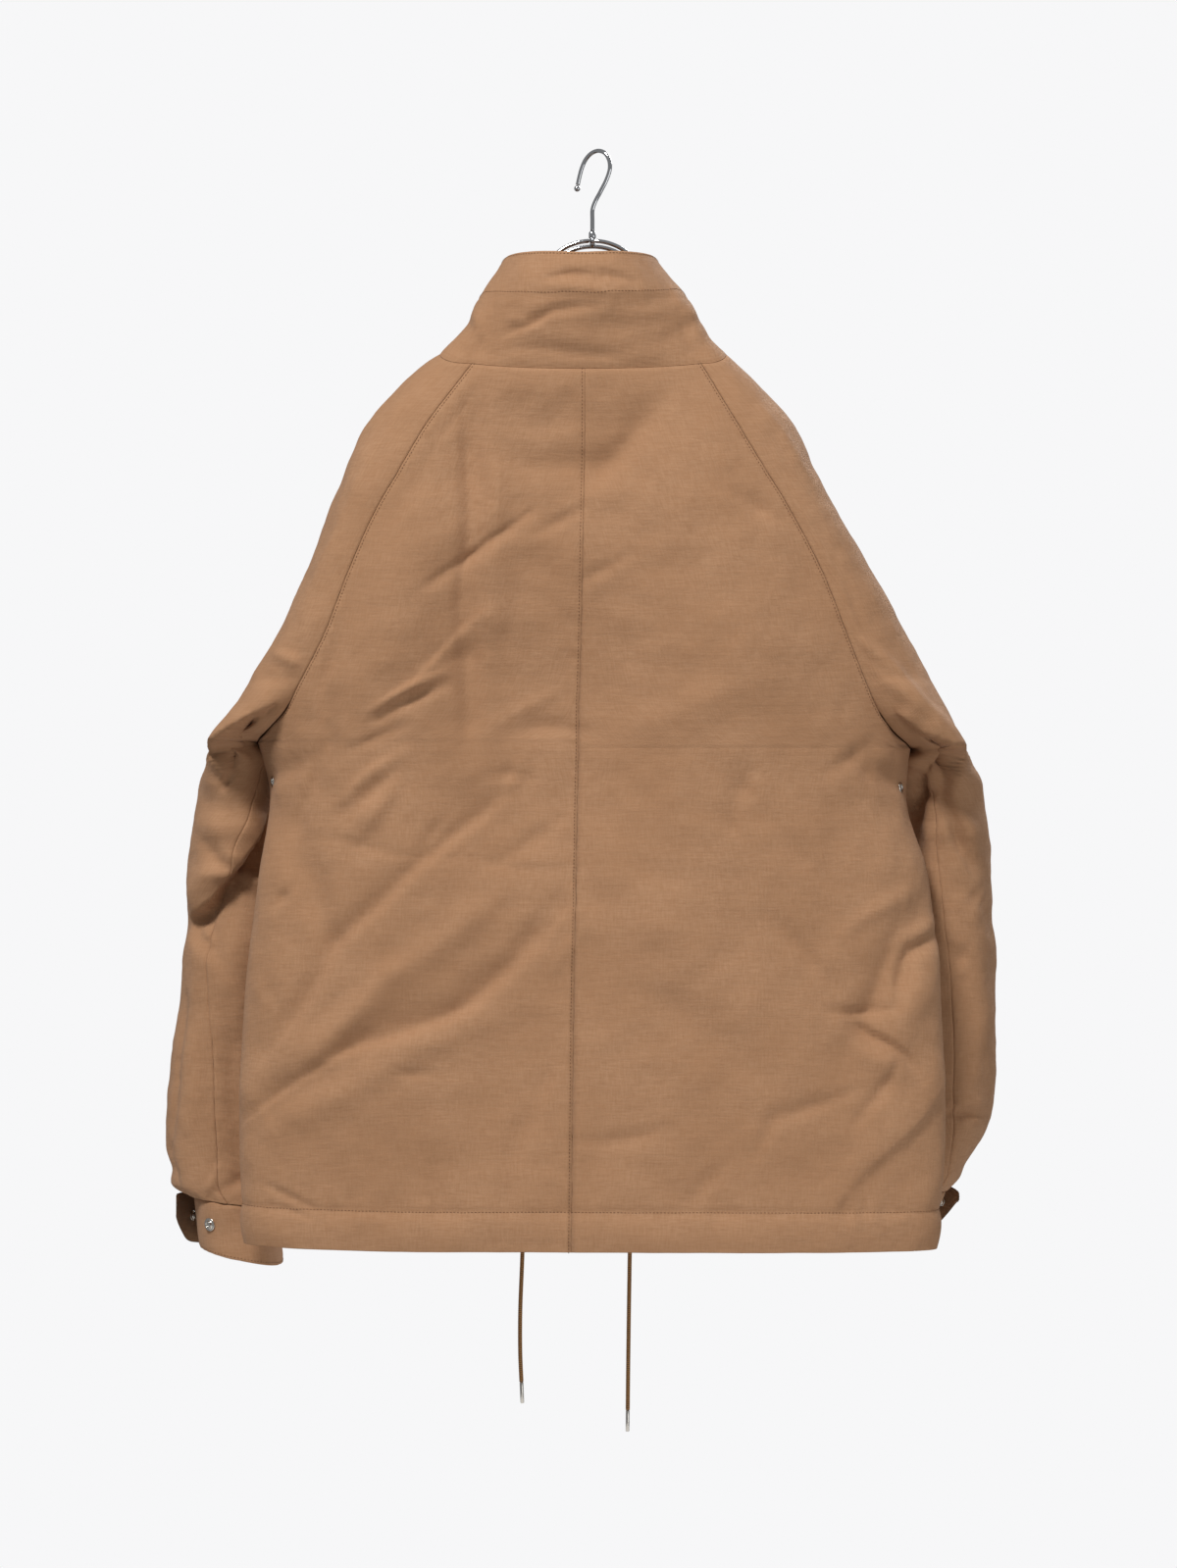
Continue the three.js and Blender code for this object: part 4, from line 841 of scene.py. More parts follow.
def blend_normals(nx, ny, sx, sy, weight):
    x = nx * (1 - weight) + sx * weight
    y = ny * (1 - weight) + sy * weight
    length = np.maximum(np.hypot(x, y), 1e-6)
    return x / length, y / length


sleeve = {
    LEFT: table(
        ["z", "outer", "inner", "centreY", "halfY"],
        [-872, 335, 266, 52, 46], [-858, 354, 262, 56, 50], [-835, 358, 262, 58, 51],
        [-800, 360, 262, 61, 53], [-750, 354, 262, 64, 54], [-690, 346, 260, 66, 56],
        [-625, 343, 260, 64, 57], [-560, 337, 262, 58, 55], [-520, 329.5, 262, 44, 52],
        [-500, 322, 266, 26, 49.5], [-489, 317, 278.6, 16, 48], [-458, 296, 278.6, 12, 54],
        [-425, 275, 278.6, 8, 50], [-393, 257, 278.6, 6, 0], [-328, 229, 278.6, 4, 0],
        [-263, 204, 278.6, 2, 0], [-230, 188, 278.6, 0, 0], [-198, 162, 278.6, 0, 0],
        [-182, 146, 278.6, 0, 0], [-171, 131.5, 278.6, 0, 0], [-165, 120, 278.6, 0, 0],
    ),
    RIGHT: table(
        ["z", "outer", "inner", "centreY", "halfY"],
        [-866, 300, 231, 74, 44], [-852, 314, 236, 72, 46], [-835, 323, 242, 71, 48],
        [-800, 337, 250, 69, 52], [-750, 341, 258, 68, 54], [-690, 340, 260, 68, 56],
        [-625, 338, 258, 65, 57], [-560, 333.5, 258, 58, 55], [-525, 327, 251, 44, 52],
        [-505, 316.5, 252, 26, 49.5], [-494, 311, 264.8, 16, 48], [-458, 290, 264.8, 12, 54],
        [-425, 273, 264.8, 8, 50], [-393, 256, 264.8, 6, 0], [-328, 220, 264.8, 4, 0],
        [-263, 183, 264.8, 2, 0], [-230, 169, 264.8, 0, 0], [-198, 142, 264.8, 0, 0],
        [-182, 126, 264.8, 0, 0], [-171, 114, 264.8, 0, 0], [-165, 107, 264.8, 0, 0],
    ),

}
# The sleeves' own seams, as degrees round the arm from its inner side by way of its back
sleeve_seam = {
    LEFT: table(
        ["z", "angle"],
        [-872, 93], [-827, 91], [-792, 92.5], [-740, 99], [-706, 109], [-667, 115], [-636, 117], [-610, 100],
        [-596, 89], [-582, 88], [-551, 73], [-535, 62], [-516, 48], [-500, 24], [-489, 0],
    ),
    RIGHT: table(
        ["z", "angle"],
        [-866, 128], [-858, 125], [-835, 110], [-800, 98], [-774, 93], [-722, 90], [-668, 87], [-645, 84],
        [-613, 81], [-574, 76], [-551, 77], [-535, 76], [-516, 60], [-505, 34], [-494, 0],
    ),
}
SLEEVE_POWER = 2.25
SEAM_GAP = 0.3


# The angle round the arm of each share of a sleeve section, from the inner side round the back
def sleeve_angle(side, z, share):
    start = np.radians(sleeve_seam[side]("angle", z))
    yoke = z > UNDERARM_Z[side]
    yoke_start = yoke_seam_angle(side, z)[0]
    begin = np.where(yoke, yoke_start, start)
    end = np.where(yoke, 2 * np.pi - yoke_start, start + 2 * np.pi)
    return begin + (end - begin) * share


# In the yoke: the angle at which a sleeve's section starts at the back seam, its half depth, the seam's x and
# the middle of its depth
def yoke_seam_angle(side, z):
    one = np.ones_like(z)
    back_x, back_y = body_section(side, BACK, z, one)
    front_y = body_section(side, FRONT, z, one)[1]
    half = (front_y - back_y) / 2
    half_y = np.maximum(sleeve[side]("halfY", z), half)
    start = np.arcsin(np.clip(half / half_y, 0, 1) ** (SLEEVE_POWER / 2))
    return start, half_y, np.abs(back_x), (front_y + back_y) / 2


# A point of a sleeve section, at a share of the way from the back seam round the outside to the front seam
def sleeve_section(side, z, share):
    at = sleeve[side]
    outer, inner = at("outer", z), at("inner", z)
    yoke = z > UNDERARM_Z[side]
    yoke_start, yoke_half_y, seam_x, yoke_centre_y = yoke_seam_angle(side, z)
    yoke_half_x = (outer - seam_x - SEAM_GAP) / (1 + np.cos(yoke_start) ** (2 / SLEEVE_POWER))
    centre_y = np.where(yoke, yoke_centre_y, at("centreY", z))
    half_y = np.where(yoke, yoke_half_y, at("halfY", z))
    half_x = np.where(yoke, yoke_half_x, (outer - inner) / 2)
    angle = sleeve_angle(side, z, share)
    cos, sin = np.cos(angle), np.sin(angle)
    x = side * (outer - half_x - np.sign(cos) * half_x * np.abs(cos) ** (2 / SLEEVE_POWER))
    y = centre_y - np.sign(sin) * half_y * np.abs(sin) ** (2 / SLEEVE_POWER)
    return x, y


def hem_height(side, share):
    return HEM_CENTRE_Z + (HEM_SIDE_Z[side] - HEM_CENTRE_Z) * smooth_share(share)


# The body's surface: folds and ripples that fade out towards the seams and the collar, the seams, and the
# hem's turned-up channel, which is a little full and puckers along its stitching
BODY_RIPPLES = ((62, 3.2), (21, 1.2), (9, 0.4))
FOLDS_FADE = {"side": 20, "neck": 50}
RIPPLES_FADE = {"side": 30, "centre": 10, "neck": 20}
HEM_GROOVE_DEPTH, HEM_GROOVE_WIDTH = 0.9, 2.6
CHANNEL_FULLNESS, CHANNEL_FADE = 2.2, 8
HEM_PUCKER, HEM_PUCKER_REACH, HEM_PUCKER_FADE = 0.6, 12, 15


def body_relief(side, face):
    panel = "back" if face == BACK else "front"

    def relief(x, y, z, share, from_centre, from_side):
        below_neck = neck_height(side, panel, share) - z
        folds = crease_height(CREASES[face], x, z) * smooth_share(from_side / FOLDS_FADE["side"])
        folds = folds * smooth_share(below_neck / FOLDS_FADE["neck"])
        edge = smooth_share(from_side / RIPPLES_FADE["side"])
        edge = edge * smooth_share(from_centre / RIPPLES_FADE["centre"])
        edge = edge * smooth_share(below_neck / RIPPLES_FADE["neck"])
        soft = cloth_ripple(x, y, z, *BODY_RIPPLES) * edge
        centre = seam_relief(from_centre, z, side == LEFT)
        yoke = z > UNDERARM_Z[side]
        outside = np.where(yoke, seam_relief(from_side, z, True), seam_relief(from_side, z, False))
        hem_up = z - hem_height(side, share)
        hem_groove = -HEM_GROOVE_DEPTH * bell(hem_up - HEM_STITCH_UP, HEM_GROOVE_WIDTH)
        channel = CHANNEL_FULLNESS * smooth_share((HEM_STITCH_UP - hem_up) / CHANNEL_FADE)
        channel = channel * np.sin(np.pi * np.clip(hem_up / HEM_STITCH_UP, 0, 1))
        gathers = np.sin(x / 4.1 + np.sin(x / 17) * 3) + 0.7 * np.sin(x / 7.3 + 2)
        puckers = HEM_PUCKER * gathers * bell(hem_up - HEM_STITCH_UP, HEM_PUCKER_REACH)
        puckers = puckers * smooth_share(from_side / HEM_PUCKER_FADE)
        return folds + soft + centre + outside + hem_groove + channel + puckers

    return relief


# Where the vent eyelets under the arms and the cord's eyelets in the hem go through, and the holes' radii
HOLES = {
    (LEFT, BACK): ((-265, -14, -521), 2.9),
    (RIGHT, BACK): ((254.5, -19, -525), 2.9),
    (LEFT, FRONT): ((-58, 54, -886), 2.6),
    (RIGHT, FRONT): ((32, 54, -886), 2.6),
}

for side, word in SIDES.items():
    for face, panel in ((BACK, "back"), (FRONT, "front")):
        z, share = panel_heights(side, panel, lambda s: hem_height(side, s), *PANEL_GRID[face])

        def share_seam(nx, ny, z, from_start, from_end):
            sx, sy, agree = shared_normal(side, face, z)
            return blend_normals(nx, ny, sx, sy, smooth_share(1 - from_end / SHARED_WITHIN) * agree)

        piece = lay_cloth(
            f"{panel}_panel_{word}", lambda h, s: body_section(side, face, h, s), z, share, side * face,
            body_relief(side, face), share_seam, hole=HOLES[side, face],
        )
        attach(piece, "root")
        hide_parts(f"{panel}_{word}")


# The sleeves: raglan, each cut in one piece that meets the body from the collar to the underarm and itself
# below, where its seam runs down the back of the arm. Empty, they fold over at the underarm and the elbow.
SLEEVE_ROWS, SLEEVE_COLUMNS = 150, 120
CUFF_TOP_Z = {LEFT: -872, RIGHT: -866}
CUFF_TOP_TILT = {LEFT: 5, RIGHT: 0}
SLEEVE_CREASES = {
    (LEFT, BACK): [
        # along the shoulder, then the shelf of cloth that folds over at the underarm
        (-165, -225, -190, -280, 6, 2.2), (-190, -280, -240, -378, 7, 2.2, 0, 0.2),
        (-178, -229, -214, -309, 6, 1.8), (-224, -440, -262, -412, 5, 3.5, 2, 0.3),
        (-258, -410, -296, -452, 8, 2.5), (-320, -500, -298, -514, 6, 4.5), (-319, -503, -304, -510, 5, -4),
        (-309, -519, -298, -527, 7, -6.5),
        # the elbow's dents and the long fold across it
        (-324, -575, -300, -596, 9, -4, 0, 0.3), (-298, -598, -338, -634, 9, -5),
        (-334, -640, -322, -652, 3, 2.5), (-320, -598, -290, -594, 5, 3), (-336, -635, -322, -650, 4, 2.5),
        (-300, -645, -298, -720, 12, 2),
        # down the forearm to the cuff
        (-341, -702, -349, -770, 3.5, -3), (-349, -760, -352, -828, 3.5, -3.2),
        (-352, -828, -341, -864, 3.5, -2.6), (-333, -690, -340, -850, 9, 2),
        (-300, -722, -296, -850, 9, -2.2), (-308, -862, -280, -850, 6, -2),
        (-322, -866, -314, -846, 4, 1.4),
    ],
    (RIGHT, BACK): [
        (142, -225, 178, -272, 6, 2.2), (170, -310, 222, -407, 7, 4.0, 0, -0.4),
        (220, -407, 288, -473, 8, 4.5, 0, -0.4), (176, -330, 226, -420, 7, -2.6),
        (229, -436, 280, -465, 6, 2.6), (266, -506, 266, -566, 8, -14), (266, -502, 304, -510, 6, -7, -4),
        (274, -495, 300, -500, 5, 2), (268, -529, 291, -538, 7, -6.5),
        (298, -550, 314, -581, 7, -6.5, 2, 0.3), (306, -546, 322, -574, 7, 2.4),
        (312, -612, 324, -622, 9, -2.4), (297, -664, 312, -674, 8, -2.4), (318, -640, 322, -760, 9, 1.8),
        (283, -620, 288, -720, 8, 1.8), (299, -797, 326, -803, 4, -4, 0, 0.5), (300, -788, 322, -790, 6, 2),
        (303, -812, 296, -850, 7, 1.8),
    ],
    (LEFT, FRONT): [
        (-168, -230, -238, -370, 7, 2.4, 0, 0.2), (-236, -430, -288, -462, 8, 4.2, 3, 0.4),
        (-252, -470, -300, -490, 8, -7), (-320, -500, -290, -514, 7, 3), (-324, -520, -296, -530, 6, -3.5),
        (-330, -590, -284, -612, 9, -4, 2, 0.3), (-326, -606, -282, -630, 8, 2.6),
        (-300, -650, -304, -760, 11, -2.4), (-334, -700, -340, -840, 8, 2.2),
        (-280, -700, -284, -850, 9, 2),
    ],
    (RIGHT, FRONT): [
        (150, -232, 222, -385, 7, 2.4, 0, 0.2), (228, -432, 284, -470, 8, 4.2, 0, 0.4),
        (248, -474, 302, -496, 8, -7), (276, -514, 310, -528, 7, -3.5),
        (280, -590, 326, -606, 9, -4, 2, 0.3), (284, -612, 324, -628, 8, 2.6),
        (298, -660, 300, -770, 11, -2.4), (322, -690, 326, -790, 8, 2), (280, -800, 312, -812, 6, -2.6),
    ],
}
# The lips of the folded cloth at the underarms and over the left elbow
SLEEVE_OVERHANGS = {
    (LEFT, BACK): [
        (-260, -458, -284, -468, 4, 18, 0, 5, 16),
        (-282, -468, -315, -494, 6, 20, 0, 25, 32),
        (-272, -550, -291, -592, 4, 16, 8, 22, 30),
        (-289, -590, -344, -639, 5, 14, 9, 15, 40),
    ],
    (RIGHT, BACK): [
        (306, -495, 272, -485, 6, 18, 0, 25, 34),
        (272, -485, 250, -468, 4, 16, 0, 6, 18),
    ],
    (LEFT, FRONT): [(-262, -462, -312, -490, 4, 20, 0, 8, 26)],
    (RIGHT, FRONT): [(306, -493, 254, -470, 4, 20, 0, 8, 26)],
}
# Height, angle round the arm from its inner side, height and width in degrees, and depth
SLEEVE_DENTS = [
    (-535, 122, 16, 36, -6),
    (-560, 103, 12, 43, 4),
    (-640, 158, 12, 30, -2.5),
    (-668, 173, 14, 40, 1),
    (-600, 303, 18, 50, -5),
    (-700, 299, 18, 50, -4),
    (-845, 169, 10, 29, -4),
    (-845, 284, 10, 29, -4),
]


def wrist_height(side, share):
    seam = np.radians(sleeve_seam[side]("angle", CUFF_TOP_Z[side]))
    return CUFF_TOP_Z[side] - CUFF_TOP_TILT[side] * np.cos(seam + 2 * np.pi * share)


# The sleeve's surface: each face's folds and lips where the cloth looks that way, the dents round the arm,
# ripples, and gathers at the wrist. Near the raglan seam all of it fades out.
SLEEVE_RIPPLES = ((48, 2.2), (18, 0.9), (8, 0.35))
YOKE_FADE = 30
EDGE_START, EDGE_FADE = 2, 16
YOKE_FOLDS_TO, YOKE_FOLDS_FADE = 0.44, 0.25
ARM_FOLDS_FADE = 0.35
LIPS_FROM, LIPS_FADE = 0.3, 0.4
DENTS_BELOW = 6
WRIST_GATHER, WRIST_GATHER_REACH = 0.5, 16


def sleeve_relief(side):
    def relief(x, y, z, share, from_start, from_end):
        above = z - UNDERARM_Z[side]
        yoke = smooth_share(above / YOKE_FADE)
        angle = sleeve_angle(side, z, share)
        from_seam = np.minimum(from_start, from_end)
        edge = smooth_share((from_seam + EDGE_START) / EDGE_FADE)
        near_seam = 1 + (edge - 1) * smooth_share((above + YOKE_FADE) / YOKE_FADE)
        total = np.zeros_like(z)
        for face in (BACK, FRONT):
            near = share if face == BACK else 1 - share
            facing = -face * np.sin(angle)
            on_yoke = smooth_share((YOKE_FOLDS_TO - near) / YOKE_FOLDS_FADE) * edge
            on_arm = smooth_share(facing / ARM_FOLDS_FADE)
            on_both = (on_arm + (on_yoke - on_arm) * yoke) * near_seam
            total += crease_height(SLEEVE_CREASES[side, face], x, z) * on_both
            at_lips = smooth_share((facing - LIPS_FROM) / LIPS_FADE)
            total += overhang_height(SLEEVE_OVERHANGS[side, face], x, z) * at_lips * near_seam
        for dent_z, degrees, tall, wide, height in SLEEVE_DENTS:
            up = (z - dent_z) / tall
            around = ((np.degrees(angle) - degrees + 180) % 360 - 180) / wide
            dent = height * np.exp(-up * up - around * around)
            total += dent * smooth_share((DENTS_BELOW - above) / YOKE_FADE)
        total += cloth_ripple(x, y, z, *SLEEVE_RIPPLES) * near_seam
        gathers = WRIST_GATHER * np.sin(share * 70 + np.sin(share * 23) * 2)
        total += gathers * bell(z - wrist_height(side, share), WRIST_GATHER_REACH)
        return total + seam_relief(from_seam, z, False)

    return relief


for side, word in SIDES.items():
    wrist_z = lambda s: wrist_height(side, s)
    z, share = panel_heights(side, "sleeve", wrist_z, YOKE_ROWS, SLEEVE_ROWS, SLEEVE_COLUMNS)

    def share_seams(nx, ny, z, from_start, from_end):
        for face, near in ((BACK, from_start), (FRONT, from_end)):
            sx, sy, agree = shared_normal(side, face, z)
            nx, ny = blend_normals(nx, ny, sx, sy, smooth_share(1 - near / SHARED_WITHIN) * agree)
        return nx, ny

    piece = lay_cloth(
        f"raglan_sleeve_{word}", lambda h, s: sleeve_section(side, h, s), z, share, -side,
        sleeve_relief(side), share_seams,
    )
    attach(piece, "root")
    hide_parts(f"sleeve_{word}")


# The collar: a tall stand of two layers round the neck, seamed to the back, sleeves and fronts, with two
# rows of topstitching. It closes at the front under the strip, narrows to its top and bellies out behind.
COLLAR_CLOTH = 2.6
COLLAR_GAP = 0.15
COLLAR_END = 0.985
COLLAR_ROWS, COLLAR_COLUMNS = 44, 260
COLLAR_BACK_SHARE = 0.25
COLLAR_HEIGHT = 92  # from the seam to the top edge
COLLAR_SLANT = 94  # the same along the cloth, as the stitch rows are measured
COLLAR_STITCH_UP = 0.60
COLLAR_EDGE_STITCH = 3
COLLAR_RIPPLES = ((40, 2.0), (13, 0.7))
COLLAR_SEAM_ROLL = 2.4
COLLAR_GROOVE_DEPTH = 1.3  # of the lower row, against the usual depth
COLLAR_PUCKER, COLLAR_PUCKER_REACH = 0.22, 7
COLLAR_FOLDS_BEFORE_Y = 20
COLLAR_TOP = {"backY": -64, "frontY": 88, "left": -75, "right": 55, "power": 2.3}
COLLAR_LEAN = -9
collar_top = table(
    ["share", "z", "angle"],
    [0, -90.5, 0], [0.125, -88.5, 34], [0.25, -88, 60], [0.5, -94, 90], [0.75, -108, 114],
    [0.875, -126, 146], [1, -142, 180],

)
collar_bulge = table(
    ["up", "left", "right"],
    [0, 0, 0], [0.18, -3.5, -4], [0.35, -6, -1], [0.6, -2, 2.5], [0.85, 0, 0.5], [1, 0, 0],

)
COLLAR_CREASES = [
    (-30, -112, 4, -115, 4, -3.0, -2), (2, -110, 28, -113, 4, -2.4), (-34, -121, 14, -124, 4, 1.6),
    (-66, -154, -34, -142, 5, -3.4, 2, 0.3), (-34, -143, 0, -136, 5, -2.8), (-10, -150, 44, -147, 9, -2.0),
    (-64, -146, -52, -152, 5, 1.6), (22, -132, 56, -127, 7, -1.6), (70, -132, 88, -148, 6, 1.8),
    (96, -138, 60, -160, 8, -1.8), (-60, -171, 12, -172, 5, -1.6), (-92, -150, -98, -128, 5, 2.2),
]


def neck_point(side, share):
    back_part = np.clip(share / COLLAR_BACK_SHARE, 0, 1)
    front_part = np.clip((1 - share) / COLLAR_BACK_SHARE, 0, 1)
    arm_part = np.clip((share - COLLAR_BACK_SHARE) / (1 - 2 * COLLAR_BACK_SHARE), 0, 1)
    back_z = neck_height(side, "back", back_part)
    front_z = neck_height(side, "front", front_part)
    arm_z = neck_height(side, "sleeve", arm_part)
    back = (*body_section(side, BACK, back_z, back_part), back_z)
    front = (*body_section(side, FRONT, front_z, front_part), front_z)
    arm = (*sleeve_section(side, arm_z, arm_part), arm_z)
    on_back = share < COLLAR_BACK_SHARE
    on_front = share > 1 - COLLAR_BACK_SHARE
    x, y, z = [np.where(on_back, b, np.where(on_front, f, a)) for b, f, a in zip(back, front, arm)]
    return np.stack([x, y, z + COLLAR_GAP], -1)


def collar_top_point(side, share):
    angle = np.radians(collar_top("angle", share))
    centre_x = (COLLAR_TOP["left"] + COLLAR_TOP["right"]) / 2
    centre_y = (COLLAR_TOP["backY"] + COLLAR_TOP["frontY"]) / 2
    half_x = (COLLAR_TOP["right"] - COLLAR_TOP["left"]) / 2
    half_y = (COLLAR_TOP["frontY"] - COLLAR_TOP["backY"]) / 2
    power = 2 / COLLAR_TOP["power"]
    x = centre_x + side * half_x * np.abs(np.sin(angle)) ** power
    y = centre_y - np.sign(np.cos(angle)) * half_y * np.abs(np.cos(angle)) ** power
    return np.stack([x, y, collar_top("z", share)], -1)


# A point of the collar: up is 0 at the seam and 1 at the top edge, around runs from -1 (front, left)
# through 0 (centre back) to 1 (front, right)
def collar_point(up, around):
    up, around = np.broadcast_arrays(np.asarray(up, float), np.asarray(around, float))
    share = np.abs(around)
    at = []
    for side in (LEFT, RIGHT):
        base, top = neck_point(side, share), collar_top_point(side, share)
        point = base + (top - base) * up[..., None]
        point[..., 0] += side * collar_bulge(SIDES[side], up) * np.sin(np.pi * share)
        point[..., 1] += COLLAR_LEAN * np.sin(np.pi * up**1.3) * np.cos(np.pi * share)
        at.append(point)
    return np.where((around < 0)[..., None], at[0], at[1])


def collar_normal(up, around):
    before = collar_point(up, np.maximum(-1, around - 2 * SMALL_STEP))
    after = collar_point(up, np.minimum(1, around + 2 * SMALL_STEP))
    x, y = after[..., 1] - before[..., 1], before[..., 0] - after[..., 0]
    length = np.hypot(x, y)
    return np.stack([x / length, y / length, np.zeros_like(x)], -1)


# How much thicker a sloping wall is when it is measured level
def collar_steepness(up, around, normal):
    step = np.where(up > 0.5, -0.01, 0.01)
    away = collar_point(up + step, around) - collar_point(up, around)
    slope = (away * normal).sum(-1) / np.abs(away[..., 2])
    return np.minimum(STEEPEST, np.hypot(1, slope))


# How far both faces of a wall draw together within half its thickness of a folded edge
def edge_rounding(distance, thickness):
    half = thickness / 2
    inside = np.clip(half - distance, 0, half)
    return half - np.sqrt(np.maximum(0, half * half - inside * inside))


def collar_relief(up, point):
    x, y, z = np.moveaxis(point, -1, 0)
    height = up * COLLAR_HEIGHT
    from_stitch = (up - COLLAR_STITCH_UP) * COLLAR_HEIGHT
    from_top = COLLAR_HEIGHT - height
    soft = cloth_ripple(x, y, z, *COLLAR_RIPPLES)
    soft *= smooth_share(up / 0.12) * smooth_share((1 - up) / 0.12)
    folds = np.where(y < COLLAR_FOLDS_BEFORE_Y, crease_height(COLLAR_CREASES, x, z), 0)
    folds = folds * smooth_share(up / 0.08)
    seam = -SEAM_DIP * bell(height, COLLAR_SEAM_ROLL)
    stitch = -STITCH_DIP * COLLAR_GROOVE_DEPTH * bell(from_stitch, STITCH_GROOVE)
    top_stitch = -STITCH_DIP * bell(from_top - COLLAR_EDGE_STITCH, STITCH_GROOVE)
    ripple = COLLAR_PUCKER * np.sin(x / 3.1 + np.sin(x / 14) * 2)
    pucker = ripple * (bell(from_stitch, COLLAR_PUCKER_REACH) + bell(from_top, COLLAR_PUCKER_REACH))
    return soft + folds + seam + stitch + top_stitch + pucker


# Rows and columns as shares, with finer rows near a folded edge
def edged_shares(edge, first, rows):
    return np.array([*edge, *np.linspace(first, 1 - first, rows), *[1 - e for e in edge[::-1]]])


ups = edged_shares([0, 0.004, 0.011, 0.022], 0.035, COLLAR_ROWS)[::-1]
arounds = np.linspace(-COLLAR_END, COLLAR_END, COLLAR_COLUMNS + 1)
up, around = np.meshgrid(ups, arounds, indexing="ij")
point = collar_point(up, around)
normal = collar_normal(up, around)
steep = collar_steepness(up, around, normal)[..., None]
lift = collar_relief(up, point)[..., None]
drawn = edge_rounding((1 - up) * COLLAR_HEIGHT, COLLAR_CLOTH)[..., None]
outer = point + normal * (lift - drawn * steep)
inner = point + normal * (lift - (COLLAR_CLOTH - drawn) * steep)
run, _ = row_lengths(*np.moveaxis(point, -1, 0))
lengths = np.stack([run - run[:, -1:] / 2, up * COLLAR_HEIGHT], -1)
piece = cloth_wall("stand_collar", outer, inner, lengths, False, COTTON)
surface["stand_collar"] = outer
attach(piece, "root")
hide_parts("collar")


# The cuffs: straight bands of doubled cloth round each wrist, with stitched edges
CUFF_CLOTH = 2.6
CUFF_GAP = 0.6
CUFF_HEIGHT = 46
CUFF_HEM_TILT = {LEFT: 8, RIGHT: 0}
CUFF_LEAN = {LEFT: 5, RIGHT: -20}
CUFF_ROWS, CUFF_COLUMNS = 24, 132
CUFF_ROUND = 260
CUFF_RIPPLES = ((26, 1.5),)
CUFF_SEAM_DIP, CUFF_SEAM_ROLL = 0.8, 2.0
CUFF_EDGE_STITCH = 3
CUFF_PUCKER, CUFF_PUCKER_REACH = 0.25, 6


def cuff_point(side, down, share, inset):
    at = sleeve[side]
    top = CUFF_TOP_Z[side]
    half_x = (at("outer", top) - at("inner", top)) / 2 - inset
    half_y = at("halfY", top) - inset
    angle = share * 2 * np.pi
    cos, sin = np.cos(angle), np.sin(angle)
    tilt = side * cos * (CUFF_TOP_TILT[side] + (CUFF_HEM_TILT[side] - CUFF_TOP_TILT[side]) * down)
    power = 2 / SLEEVE_POWER
    x = side * (at("outer", top) + at("inner", top)) / 2 + CUFF_LEAN[side] * down
    x = x + half_x * np.sign(cos) * np.abs(cos) ** power
    y = at("centreY", top) + half_y * np.sign(sin) * np.abs(sin) ** power
    return np.stack(np.broadcast_arrays(x, y, top - CUFF_GAP - CUFF_HEIGHT * down + tilt), -1)


def cuff_relief(side, down, share):
    place = cuff_point(side, down, share, 0)
    height = down * CUFF_HEIGHT
    from_hem = CUFF_HEIGHT - height
    soft = cloth_ripple(*np.moveaxis(place, -1, 0), *CUFF_RIPPLES)
    soft *= smooth_share(down / 0.2) * (0.5 + 0.5 * smooth_share((1 - down) / 0.2))
    seam = -CUFF_SEAM_DIP * bell(height, CUFF_SEAM_ROLL)
    stitch = -STITCH_DIP * bell(from_hem - CUFF_EDGE_STITCH, STITCH_GROOVE)
    ripple = CUFF_PUCKER * np.sin(share * 150 + np.sin(share * 31) * 2)
    return soft + seam + stitch + ripple * bell(from_hem, CUFF_PUCKER_REACH)


def cloth_band(name, side):
    downs = edged_shares([0, 0.006, 0.016, 0.03], 0.05, CUFF_ROWS)
    shares = np.arange(CUFF_COLUMNS) / CUFF_COLUMNS
    down, share = np.meshgrid(downs, shares, indexing="ij")
    lift = cuff_relief(side, down, share)
    drawn = edge_rounding((1 - down) * CUFF_HEIGHT, CUFF_CLOTH)
    drawn += edge_rounding(down * CUFF_HEIGHT, CUFF_CLOTH)
    outer = cuff_point(side, down, share, drawn - lift)
    inner = cuff_point(side, down, share, CUFF_CLOTH - drawn - lift)
    surface[name] = outer
    rings = np.concatenate([outer, inner[::-1]])
    index = np.arange(len(rings) * CUFF_COLUMNS).reshape(len(rings), CUFF_COLUMNS)
    below = np.roll(index, -1, axis=0)
    corners = [index, below, np.roll(below, -1, axis=1), np.roll(index, -1, axis=1)]
    faces = np.stack(corners, -1).reshape(-1, 4)
    around = share * CUFF_ROUND
    uv = np.stack([np.concatenate([around, around[::-1]]), rings[..., 2]], -1)
    return make_piece(name, rings.reshape(-1, 3).tolist(), faces.tolist(), COTTON, uv=uv.reshape(-1, 2))


for side, word in SIDES.items():
    piece = cloth_band(f"cuff_band_{word}", side)
    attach(piece, "root")
    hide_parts(f"cuff_{word}")


# The cuff straps: short tabs sewn to each cuff's front, whose free ends stand away from it. They are cut from
# the jacket's tan cotton, drawn in a darker copy of it that paints the shade they hang in.
STRAP = {
    LEFT: [
        (-309, 98.1, -877, -912), (-323, 96, -874, -914), (-335, 85, -871, -913), (-343, 70, -869, -909),
        (-347.5, 56, -867.5, -897), (-349, 44, -868, -887),
    ],
    RIGHT: [
        (270, 119.2, -870, -906), (284, 117, -868, -905), (295, 107, -867, -900), (303, 96, -866, -890),
        (308, 85, -867, -881), (311, 76, -870, -876),
    ],
}
STRAP_ROWS = 26
STRAP_RINGS_APART = 1.4
STRAP_EDGE_STITCH = 3
STRAP_GROOVE_DEPTH, STRAP_GROOVE_WIDTH = 0.3, 1.3
# Painted shade: the straps' darker copy of the tan cotton stands in for the shade they hang in, not a darker
# cloth
PAINTED_SHADE_COTTON = brushed_cotton("brushed_cotton_painted_shade", "#94704F", "#846244", "#7A593B")


